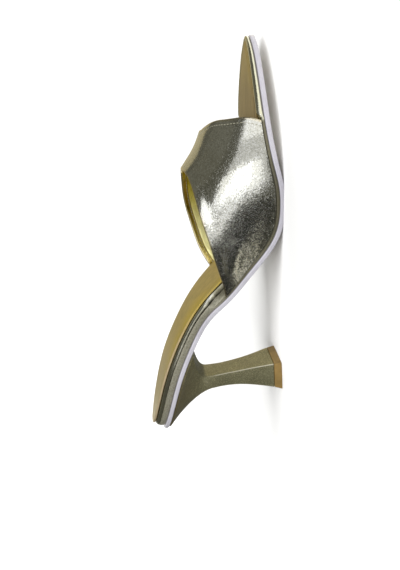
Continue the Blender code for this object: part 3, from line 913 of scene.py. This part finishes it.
# %% Wires
class Wire:
    """One number or colour in a material's node tree."""

    def __init__(self, finish, socket):
        self.finish, self.socket = finish, socket

    def _math(self, operation, *values):
        return self.finish.node("ShaderNodeMath", {"operation": operation}, dict(enumerate(values)))

    def __add__(self, other):
        return self._math("ADD", self, other)

    def __sub__(self, other):
        return self._math("SUBTRACT", self, other)

    def __rsub__(self, other):
        return self._math("SUBTRACT", other, self)

    def __mul__(self, other):
        return self._math("MULTIPLY", self, other)

    def __pow__(self, power):
        return self._math("POWER", self, power)

    __radd__, __rmul__ = __add__, __mul__

    def step(self, low, high):
        """0 below low, 1 above high, smooth between them."""
        return self.finish.node("ShaderNodeMapRange", {"interpolation_type": "SMOOTHSTEP"},
                                {"Value": self, "From Min": low, "From Max": high})

    def band(self, rise, fall):
        """1 between two soft steps and 0 outside them, each step given by its low and its high end."""
        return self.step(*rise) - self.step(*fall)

    def also(self, output):
        """Another output of the node that this wire comes from."""
        return Wire(self.finish, self.socket.node.outputs[output])


print("wires know:", ", ".join(name for name in vars(Wire) if not name.startswith("_")))

# %% [markdown]
# Finish holds one material. Its one method for nodes makes any of them, options first, then the sockets'
# values or links, and short words are built on it. All patterns read the piece's own coordinates, so they
# stay on the shoe from every side. What is the same all over a surface is set on the shader itself.

# %% Finishes
class Finish:
    """One material, built from nodes on the piece's own coordinates."""

    def __init__(self, name, **constants):
        self.material = bpy.data.materials.new(name)
        self.material.use_nodes = True
        self.tree = self.material.node_tree
        self.shader = self.tree.nodes["Principled BSDF"]
        for key, value in constants.items():
            self.shader.inputs[key.replace("_", " ").title().replace("Ior", "IOR")].default_value = value

    def node(self, kind, settings=None, sockets=None, output=0):
        made = self.tree.nodes.new(kind)
        for key, value in (settings or {}).items():
            setattr(made, key, value)
        for key, value in (sockets or {}).items():
            if isinstance(value, Wire):
                self.tree.links.new(value.socket, made.inputs[key])
            else:
                made.inputs[key].default_value = value
        return Wire(self, made.outputs[output])

    def place(self, scale=(1, 1, 1)):
        """The piece's own coordinates, in metres. A small scale stretches a pattern along its axis."""
        own = self.node("ShaderNodeTexCoord", output="Object")
        return self.node("ShaderNodeMapping", {}, {"Vector": own, "Scale": scale})

    def along(self, axis):
        """Distance in millimetres along X, Y or Z, measured on the shoe itself."""
        return self.node("ShaderNodeSeparateXYZ", {}, {"Vector": self.place()}, axis) * (1 / MM)

    def noise(self, place, size_mm, detail=2.0, roughness=0.5):
        return self.node("ShaderNodeTexNoise", {}, {"Vector": place, "Scale": 1 / (size_mm * MM),
                                                    "Detail": detail, "Roughness": roughness}, "Fac")

    def cells(self, place, size_mm, output="Distance", randomness=1.0):
        return self.node("ShaderNodeTexVoronoi", {}, {"Vector": place, "Scale": 1 / (size_mm * MM),
                                                      "Randomness": randomness}, output)

    def facets(self, place, size_mm, slope):
        """Height in millimetres of small flat cells, each tilted its own way by up to a given slope."""
        centre = self.cells(place, size_mm, "Position")
        offset = self.node("ShaderNodeVectorMath", {"operation": "SUBTRACT"}, {0: place, 1: centre})
        lean = self.node("ShaderNodeVectorMath", {"operation": "SUBTRACT"},
                         {0: centre.also("Color"), 1: (0.5, 0.5, 0.5)})
        product = self.node("ShaderNodeVectorMath", {"operation": "DOT_PRODUCT"},
                            {0: offset, 1: lean}, "Value")
        return product * (2 * slope / MM)

    def attribute(self, name):
        return self.node("ShaderNodeAttribute", {"attribute_name": name}, output="Fac")

    def mix(self, factor, low, high):
        """Mix of two colours by a factor."""
        colours = [c if isinstance(c, Wire) else (*c, 1.0) for c in (low, high)]
        return self.node("ShaderNodeMix", {"data_type": "RGBA"},
                         {0: factor, 6: colours[0], 7: colours[1]}, output=2)

    def feed(self, socket, wire):
        self.tree.links.new(wire.socket, self.shader.inputs[socket])

    def bump(self, height, depth_mm, strength=1.0):
        self.feed("Normal", self.node("ShaderNodeBump", {}, {"Strength": strength, "Height": height,
                                                              "Distance": depth_mm * MM}, "Normal"))

    def dress(self, *pieces):
        for piece in pieces:
            piece.data.materials.clear()
            piece.data.materials.append(self.material)
            print(f"{self.material.name}: {len(self.tree.nodes)} nodes, on {piece.name}")


print("finishes know:", ", ".join(name for name in vars(Finish) if not name.startswith("_")))

# %% [markdown]
# Foil-coated leather is a mirror broken up by the hide's grain. A photographed grain would repeat and blur
# close up, so it is made from cells and noise: rounded pebbles three quarters of a millimetre across, a
# fine roughness, and small flat facets that tilt a little, each its own way. The facets break the edge of
# a highlight into bright and dark grains. The foil is darker between the pebbles, a few grains are painted
# bright as a painted glint, and it is worn thin and tan along the fold.

# %% Champagne leather
FOIL_DEEP, FOIL_PALE = (0.50, 0.49, 0.42), (0.60, 0.595, 0.54)
FOIL_CREVICE, PAINTED_GLINT = (0.24, 0.23, 0.18), (0.82, 0.82, 0.80)
INSIDE_GOLD, WORN_FOLD = (0.70, 0.56, 0.13), (0.62, 0.54, 0.37)
FOLD_FADE = (0.4, 1.2)


def champagne_leather():
    finish = Finish("champagne_leather", metallic=1.0)
    place = finish.place()
    pebble, fine = finish.cells(place, 0.75), finish.noise(place, 0.5, 3.0, 0.6)
    cloud, glint = finish.noise(place, 26, 2.0), finish.cells(place, 0.6, "Color")
    speckle = finish.node("ShaderNodeSeparateColor", {}, {"Color": glint}, "Red")
    fold = 1 - finish.attribute("edge").step(*FOLD_FADE)
    tone = finish.mix(cloud.step(0.3, 0.75), FOIL_DEEP, FOIL_PALE)
    tone = finish.mix(pebble.step(0.35, 0.85) * 0.35, tone, FOIL_CREVICE)
    # a few grains painted bright: a painted glint
    tone = finish.mix(speckle.step(0.5, 1.0) * 0.3, tone, PAINTED_GLINT)
    tone = finish.mix(finish.attribute("inner") * 0.85, tone, INSIDE_GOLD)
    finish.feed("Base Color", finish.mix(fold * 0.6, tone, WORN_FOLD))
    finish.feed("Roughness", 0.05 + fine * 0.10 + cloud * 0.05)
    grain = (1 - pebble) * 0.006 + fine * 0.008 + finish.facets(place, 0.65, 0.028)
    finish.bump(grain, 1.0)
    return finish


champagne_leather().dress(upper)

# %% [markdown]
# The wrap on the board's side is a silver leather, duller on its flat band than on its roll. At the waist
# one bright and one dark line are painted along the roll, a painted highlight and a painted dark reflection.
# In the upper's shade it is dark, and the rim at the toe is clean and bright. Separate materials would meet
# in hard lines, so masks along the shoe and up the edge blend the tones instead, with soft steps in
# millimetres.

# %% Silver wrap
WRAP_DEEP, WRAP_PALE, WRAP_BRIGHT = (0.25, 0.24, 0.17), (0.34, 0.33, 0.26), (0.60, 0.58, 0.48)
GREIGE, GREIGE_CREVICE, GREIGE_FRONT = (0.34, 0.325, 0.25), (0.20, 0.19, 0.14), (0.17, 0.16, 0.12)
TOE_RIM, UNDER_SHADE = (0.60, 0.59, 0.48), (0.10, 0.09, 0.055)
# painted highlight line and painted dark reflection line on the roll at the waist
PAINTED_HIGHLIGHT_LINE, PAINTED_DARK_REFLECTION = (0.88, 0.87, 0.80), (0.05, 0.045, 0.03)
HIGHLIGHT_LINE_LEVELS, DARK_REFLECTION_LEVELS = ((0.64, 0.70), (0.78, 0.84)), ((0.44, 0.50), (0.58, 0.64))
WAIST_X = ((20, 60), (64, 70))


def wrap_zones(finish):
    """Masks of the strip under the upper and of the toe rim, which starts further back on the inner side."""
    inner_side = finish.attribute("across").step(-0.2, 0.2)
    past = finish.along("X") + inner_side * (HIDDEN_TO[OUTER] - HIDDEN_TO[INNER]) - HIDDEN_TO[OUTER]
    return finish.along("X").step(62, 68) - past.step(-1.5, 0.5), past.step(-1.0, 2.0)


def silver_wrap():
    finish = Finish("silver_wrap")
    place, x, level = finish.place(), finish.along("X"), finish.attribute("level")
    pebble, fine = finish.cells(place, 0.8), finish.noise(place, 0.5, 3.0, 0.6)
    pull = finish.noise(finish.place((1.0, 1.0, 0.35)), 3.2, 2.0)
    under, toe = wrap_zones(finish)
    waist, flat_band = x.band(*WAIST_X), (1 - level.step(0.42, 0.5)) * (1 - toe)
    tone = finish.mix(pull.step(0.35, 0.7), WRAP_DEEP, WRAP_PALE)
    tone = finish.mix(0.45 - x.step(20, 62) * 0.45, tone, WRAP_BRIGHT)
    greige = finish.mix(pebble.step(0.3, 0.8), GREIGE, GREIGE_CREVICE)
    greige = finish.mix(x.step(110, 135) * 0.6, greige, GREIGE_FRONT)
    tone = finish.mix(flat_band * 0.8, tone, greige)
    tone = finish.mix(toe * 0.85, tone, TOE_RIM)
    # a painted highlight and a painted dark reflection along the roll at the waist
    tone = finish.mix(waist * level.band(*HIGHLIGHT_LINE_LEVELS) * 0.8, tone, PAINTED_HIGHLIGHT_LINE)
    tone = finish.mix(waist * level.band(*DARK_REFLECTION_LEVELS) * 0.85, tone, PAINTED_DARK_REFLECTION)
    finish.feed("Base Color", finish.mix(under * 0.75, tone, UNDER_SHADE))
    finish.feed("Metallic", 1 - flat_band * 0.45)
    finish.feed("Roughness", 0.10 + fine * 0.08 + flat_band * 0.28)
    finish.bump((1 - pebble) * 0.4 + pull * 0.4 + fine * (0.3 + toe * 1.2), 0.04)
    return finish


silver_wrap().dress(board)

# %% [markdown]
# The sock is a softer gold leather, brushed lengthwise, with a half-matt surface. A plain gold would look
# like plastic, so a noise that is stretched along the foot gives it streaks. It is paler at the heel and
# browner at the toe, a yellow sheen is painted along its outer side, most along the waist, and its cut
# edge shows pale round the heel.

# %% Gold sock
SOCK_DEEP, SOCK_PALE, SOCK_YELLOW_SHEEN = (0.33, 0.25, 0.08), (0.46, 0.35, 0.115), (0.51, 0.37, 0.05)
SOCK_HEEL, SOCK_HEM = (0.60, 0.50, 0.28), (0.58, 0.45, 0.31)
TOE_BROWN, TOE_TAN = (0.17, 0.117, 0.055), (0.30, 0.225, 0.10)


def gold_sock():
    finish = Finish("gold_sock", coat_weight=0.08, coat_roughness=0.35)
    streak = finish.noise(finish.place((0.06, 1.0, 1.0)), 2.6, 4.0, 0.62)
    place, x = finish.place(), finish.along("X")
    cloud, fine = finish.noise(place, 30, 2.0), finish.noise(place, 0.5, 3.0)
    pore = finish.cells(place, 0.7)
    sheen_side = (0 - finish.attribute("across")).step(-0.1, 0.9)
    tone = finish.mix(streak.step(0.3, 0.7), SOCK_DEEP, SOCK_PALE)
    waist = x.band((5, 40), (90, 120))
    # painted yellow sheen along the outer side, strongest at the waist
    tone = finish.mix(sheen_side * cloud.step(0.25, 0.6) * (0.35 + waist * 0.4), tone, SOCK_YELLOW_SHEEN)
    tone = finish.mix(0.85 - x.step(0, 45) * 0.85, tone, SOCK_HEEL)
    brown = finish.mix(streak.step(0.35, 0.65), TOE_BROWN, TOE_TAN)
    tone = finish.mix(x.step(130, 170) * (0.9 - x.step(175, 200) * 0.5), tone, brown)
    hem = (1 - finish.attribute("rim").step(0.1, 0.6)) * (1 - x.step(30, 70))
    finish.feed("Base Color", finish.mix(hem * 0.55, tone, SOCK_HEM))
    finish.feed("Metallic", 0.45 + streak * 0.3)
    finish.feed("Roughness", 0.36 + fine * 0.14)
    finish.bump((1 - pore) * 0.6 + fine * 0.6 + streak * 0.5, 0.05)
    return finish


gold_sock().dress(sock)

# %% [markdown]
# The lining is a bright yellow-gold foil on thin leather, more wrinkled than the outside, so its facets tilt
# more. It is painted paler toward the back, as a painted highlight. The thread is a plain champagne cord: at
# its size only a little variation along each strand can be seen.

# %% Lining and thread
LINING_DEEP, LINING_BRIGHT, LINING_PAINTED_HIGHLIGHT = (0.46, 0.38, 0.02), (0.80, 0.70, 0.10), (0.80, 0.77, 0.42)
THREAD_DEEP, THREAD_PALE = (0.30, 0.28, 0.21), (0.46, 0.44, 0.35)


def gold_lining():
    finish = Finish("gold_lining", metallic=0.55)
    place = finish.place()
    fine, cells = finish.noise(place, 0.5, 3.0), finish.cells(place, 0.9)
    tone = finish.mix(fine.step(0.3, 0.7), LINING_DEEP, LINING_BRIGHT)
    # painted highlight: paler toward the back
    tone = finish.mix(0.8 - finish.along("X").step(95, 130) * 0.8, tone, LINING_PAINTED_HIGHLIGHT)
    finish.feed("Base Color", tone)
    finish.feed("Roughness", 0.24 + fine * 0.14)
    finish.bump((1 - cells) * 0.05 + fine * 0.05 + finish.facets(place, 0.9, 0.12), 1.0)
    return finish


def champagne_thread():
    finish = Finish("champagne_thread", metallic=0.35, roughness=0.45)
    finish.feed("Base Color", finish.mix(finish.noise(finish.place(), 0.25, 1.0), THREAD_DEEP, THREAD_PALE))
    return finish


gold_lining().dress(lining)
stitches = make_stitches(champagne_thread().material)

# %% [markdown]
# The heel's cover is an olive-gold lacquer with fine metal flake under a clear coat. A noise would look like
# dust, so each flake is a cell with its own tilt and brightness. Up in the cup the tone is painted darker
# and browner, as painted shade under the sole, and a pale highlight is painted along the corners.

# %% Flake lacquer
OLIVE_DEEP, OLIVE_PALE, CUP_PAINTED_SHADE = (0.21, 0.20, 0.115), (0.285, 0.27, 0.16), (0.16, 0.122, 0.06)
BRIGHT_FLAKE, PAINTED_CORNER_HIGHLIGHT = (0.62, 0.57, 0.34), (1.0, 0.96, 0.80)


def flake_lacquer():
    finish = Finish("flake_lacquer", coat_weight=0.7, coat_roughness=0.08)
    place = finish.place()
    flake = finish.cells(place, 0.42, "Color")
    bright = finish.node("ShaderNodeSeparateColor", {}, {"Color": flake}, "Red")
    tilt, cloud = bright.also("Green"), finish.noise(place, 14, 2.0)
    tone = finish.mix(cloud.step(0.3, 0.7), OLIVE_DEEP, OLIVE_PALE)
    tone = finish.mix(bright.step(0.55, 1.0) * 0.6, tone, BRIGHT_FLAKE)
    # painted shade: darker and browner up in the cup, under the sole
    tone = finish.mix(finish.along("Z").step(48, 72) * 0.6, tone, CUP_PAINTED_SHADE)
    # painted highlight: pale along the heel's corner lines
    finish.feed("Base Color", finish.mix(finish.attribute("corner") ** 3, tone, PAINTED_CORNER_HIGHLIGHT))
    finish.feed("Metallic", 0.6 + bright * 0.3)
    finish.feed("Roughness", 0.3 + tilt * 0.15)
    finish.bump(tilt, 0.035)
    return finish


flake_lacquer().dress(heel)

# %% [markdown]
# The outsole's edge is painted, so it is smooth and half glossy, and only its underside is bare and scuffed
# a little. One material with a mask from the rim does both, because on the real sole the paint also runs
# over the arris. The top piece is plain tan rubber with a fine grain.

# %% Painted sole and rubber
LILAC_DEEP, LILAC_PALE, BARE_SOLE = (0.36, 0.35, 0.39), (0.42, 0.41, 0.455), (0.60, 0.56, 0.50)
RUBBER_DEEP, RUBBER_PALE = (0.17, 0.108, 0.032), (0.22, 0.142, 0.045)


def painted_sole():
    finish = Finish("painted_sole", coat_weight=0.3, coat_roughness=0.2)
    place = finish.place()
    cloud, fine = finish.noise(place, 18, 3.0), finish.noise(place, 0.8, 3.0)
    under = finish.attribute("rim").step(0.6, 2.4)
    tone = finish.mix(cloud.step(0.3, 0.7), LILAC_DEEP, LILAC_PALE)
    finish.feed("Base Color", finish.mix(under * 0.8, tone, BARE_SOLE))
    finish.feed("Roughness", 0.34 + fine * 0.12 + under * 0.2)
    finish.bump(fine + cloud * 0.5, 0.05)
    return finish


def tan_rubber():
    finish = Finish("tan_rubber")
    place = finish.place()
    fine, cloud = finish.noise(place, 0.5, 3.0), finish.noise(place, 6, 2.0)
    finish.feed("Base Color", finish.mix(cloud.step(0.3, 0.7), RUBBER_DEEP, RUBBER_PALE))
    finish.feed("Roughness", 0.45 + fine * 0.15)
    finish.bump(fine, 0.05)
    return finish


painted_sole().dress(outsole)
tan_rubber().dress(top_piece)

# %% [markdown]
# The shoe stands on a pale floor that curves up into a pale wall, and far behind both a pale globe closes
# the view on every side. Metal shows its surroundings, so floor and wall light the shoe but stay out of its
# mirror images, and the globe is there for the camera alone. A white room all round would be simpler, but it
# would wash all the dark out of the metal.

# %% Floor and screen
FLOOR_REACH, WALL_HEIGHT, WALL_CURVE, WALL_Y = 4.0, 4.0, 1.0, 2.6
CURVE_STEPS = 17
SCREEN_RADIUS, SCREEN_ROUNDNESS = 9.0, 4
PALE_GREY = (0.86, 0.86, 0.865, 1.0)
BLACK, WHITE = (0.0, 0.0, 0.0, 1.0), (1.0, 1.0, 1.0, 1.0)


def stage_piece(mesh, finish):
    """Object in the studio that isn't part of the shoe."""
    piece = bpy.data.objects.new(mesh.name, mesh)
    bpy.context.scene.collection.objects.link(piece)
    finish.dress(piece)
    return piece


def make_floor():
    turn = np.linspace(0, math.pi / 2, CURVE_STEPS)
    bend_y = WALL_Y - WALL_CURVE + WALL_CURVE * np.sin(turn)
    bend_z = WALL_CURVE * (1 - np.cos(turn))
    line_y = np.concatenate([[-FLOOR_REACH], bend_y, [WALL_Y]])
    line_z = np.concatenate([[0.0], bend_z, [WALL_HEIGHT]])
    points = [(x, y, z) for x in (-FLOOR_REACH, FLOOR_REACH) for y, z in zip(line_y, line_z)]
    n = len(line_y)
    mesh = bpy.data.meshes.new("studio_floor")
    mesh.from_pydata(points, [], [(i, i + n, i + n + 1, i + 1) for i in range(n - 1)])
    mesh.shade_smooth()
    floor = stage_piece(mesh, Finish("pale_floor", base_color=PALE_GREY, roughness=0.9))
    floor.visible_glossy = False


def make_screen():
    """Pale globe round the whole studio, which only the camera sees: it sheds no light."""
    mesh = bpy.data.meshes.new("pale_screen")
    ball = bmesh.new()
    bmesh.ops.create_icosphere(ball, subdivisions=SCREEN_ROUNDNESS, radius=SCREEN_RADIUS)
    ball.to_mesh(mesh)
    ball.free()
    screen = stage_piece(mesh, Finish("lit_screen", base_color=BLACK, specular_ior_level=0.0,
                                      emission_color=WHITE, emission_strength=1.0))
    screen.visible_diffuse = screen.visible_glossy = screen.visible_transmission = False
    screen.visible_volume_scatter = screen.visible_shadow = False


make_floor()
make_screen()

# %% [markdown]
# Highlights on metal are mirror images of the lights, so each one is drawn by a card of its own shape, close
# by, that only mirrors and gloss see. A few large lamps would be quicker to set up, but they would give a
# plainer pattern than polished foil shows. A black flag does the opposite and keeps one stretch dark.

# %% Cards and flags
OVERHEAD_Z, SHOE_Y = 1.0, 0.0
NEAR_BLACK = (0.01, 0.01, 0.01, 1.0)


def aim(lamp, place, target):
    lamp.location = place
    lamp.rotation_euler = (Vector(target) - Vector(place)).to_track_quat("-Z", "Y").to_euler()
    bpy.context.scene.collection.objects.link(lamp)


def card_watts(size, radiance):
    return radiance * size[0] * size[1] * math.pi


def soft_box(name, place, target, size, radiance, colour=(1.0, 1.0, 1.0)):
    """Rectangular light that only mirrors and gloss see: it draws the highlights."""
    light = bpy.data.lights.new(name, "AREA")
    light.shape = "RECTANGLE"
    light.size, light.size_y = size
    light.energy = card_watts(size, radiance)
    light.color = colour
    lamp = bpy.data.objects.new(name, light)
    lamp.visible_diffuse = lamp.visible_camera = False
    aim(lamp, place, target)


def black_flag(name, place, size):
    """Small black card across Y that only mirrors see: it keeps a part of the metal dark."""
    (x, y, z), half_x, half_z = place, size[0] / 2, size[1] / 2
    mesh = bpy.data.meshes.new(name)
    mesh.from_pydata([(x - half_x, y, z - half_z), (x + half_x, y, z - half_z),
                      (x + half_x, y, z + half_z), (x - half_x, y, z + half_z)], [], [(0, 1, 2, 3)])
    card = stage_piece(mesh, Finish(name, base_color=NEAR_BLACK, roughness=1.0))
    card.visible_camera = card.visible_diffuse = card.visible_shadow = False


print(f"a card of 0.1 by 0.1 m needs {card_watts((0.1, 0.1), 1.0):.3f} W to look white")

# %% [markdown]
# Five cards stand in front of the shoe's outer side, in three planes a millimetre apart. Two lie on the
# floor, where the rim of the toe and the low side of the upper mirror them. Three larger boxes stand above
# and behind and give the far edges a faint or a warm line. The room itself is a dim warm grey, which is
# all that the metal mirrors between them. A very soft sun lights the floor and whatever is matt.

# %% Lights of the studio
COOL_WHITE, ROOM_GREY = (0.93, 0.945, 1.0), (0.145, 0.143, 0.118, 1.0)
FRONT_CARDS = (
    {"name": "key_wide", "place": (0.225, -0.252, 0.115), "size": (0.43, 0.25), "radiance": 0.80},
    {"name": "key_left", "place": (0.0525, -0.251, 0.13), "size": (0.135, 0.22), "radiance": 1.0},
    {"name": "key_tail", "place": (-0.029, -0.251, 0.125), "size": (0.028, 0.055), "radiance": 1.25},
    {"name": "key_core", "place": (0.065, -0.25, 0.12), "size": (0.10, 0.11), "radiance": 0.95},
    {"name": "key_right", "place": (0.34, -0.251, 0.10), "size": (0.20, 0.20), "radiance": 0.74},
)
AIMED_BOXES = (
    {"name": "toe_card", "place": (0.205, -0.03, 0.001), "target": (0.205, -0.03, OVERHEAD_Z),
     "size": (0.12, 0.14), "radiance": 1.5, "colour": (1.0, 0.99, 0.90)},
    {"name": "floor_card", "place": (-0.045, -0.16, 0.002), "target": (-0.045, -0.16, OVERHEAD_Z),
     "size": (0.07, 0.06), "radiance": 1.2, "colour": (1.0, 0.97, 0.85)},
    {"name": "top_fill", "place": (0.10, 0.10, 1.00), "target": (0.10, 0.0, 0.0),
     "size": (1.6, 1.2), "radiance": 0.06, "colour": (1.0, 0.98, 0.82)},
    {"name": "back_fill", "place": (0.30, 0.80, 0.15), "target": (0.05, 0.0, 0.05),
     "size": (1.4, 0.8), "radiance": 0.40, "colour": (1.0, 0.85, 0.48)},
    {"name": "back_key", "place": (-0.42, 0.45, 0.20), "target": (0.10, 0.0, 0.04),
     "size": (0.26, 0.30), "radiance": 1.3},
)


def daylight(name, place, strength, spread_degrees):
    """Very soft light for the floor, the wall and matt colour. Metal doesn't mirror it."""
    light = bpy.data.lights.new(name, "SUN")
    light.energy = strength
    light.angle = math.radians(spread_degrees)
    lamp = bpy.data.objects.new(name, light)
    lamp.visible_glossy = False
    aim(lamp, place, (0, 0, 0))


world = bpy.data.worlds.new("room")
world.use_nodes = True
world.node_tree.nodes["Background"].inputs["Color"].default_value = ROOM_GREY
world.node_tree.nodes["Background"].inputs["Strength"].default_value = 1.0
bpy.context.scene.world = world
for card in FRONT_CARDS:
    soft_box(target=(card["place"][0], SHOE_Y, card["place"][2]), colour=COOL_WHITE, **card)
for box in AIMED_BOXES:
    soft_box(**box)
black_flag("side_flag", (-0.097, -0.255, 0.033), (0.112, 0.136))
daylight("daylight", (0.45, -0.8, 0.9), 4.4, 70)
bpy.context.scene.view_settings.view_transform = "Standard"
print("lights:", len(bpy.data.lights))

# %% [markdown]
# The photograph looks at the shoe's outer side from in front of the heel, close by, with the picture turned
# so that the toe points up. Turning the shoe would do the same for the picture but leave it standing on its
# heel in the air, so the camera is rolled instead. Its place and axes were worked out from the shoe's edges.

# %% Camera
CAMERA_PLACE = (184.6, -309.4, 61.4)
PICTURE_RIGHT = Vector((-0.0931, -0.0790, -0.9925))
PICTURE_UP = Vector((0.9298, 0.3496, -0.1151))
FOCAL_PIXELS, FRAME_HEIGHT = 520.0, 570.0
SENSOR = 36.0

camera_data = bpy.data.cameras.new("photo_camera")
camera_data.sensor_width = SENSOR
camera_data.lens = FOCAL_PIXELS / FRAME_HEIGHT * SENSOR
camera_data.clip_start = 0.01
camera = bpy.data.objects.new("photo_camera", camera_data)
bpy.context.scene.collection.objects.link(camera)
right = PICTURE_RIGHT.normalized()
up = (PICTURE_UP - PICTURE_UP.dot(right) * right).normalized()
axes = Matrix((right, up, right.cross(up))).transposed()
camera.matrix_world = Matrix.Translation(Vector(CAMERA_PLACE) * MM) @ axes.to_4x4()
bpy.context.scene.camera = camera
print(f"camera: {Vector(CAMERA_PLACE).length:.0f} mm from the heel's foot, {camera_data.lens:.1f} mm lens")

# %% [markdown]
# Everything on this shoe is stitched, glued or pinned together, and nothing turns or slides. So each piece
# rides on the one body.

# %% Ride on the one body
for piece in (outsole, board, sock, upper, lining, stitches, heel, top_piece):
    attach(piece, "root")
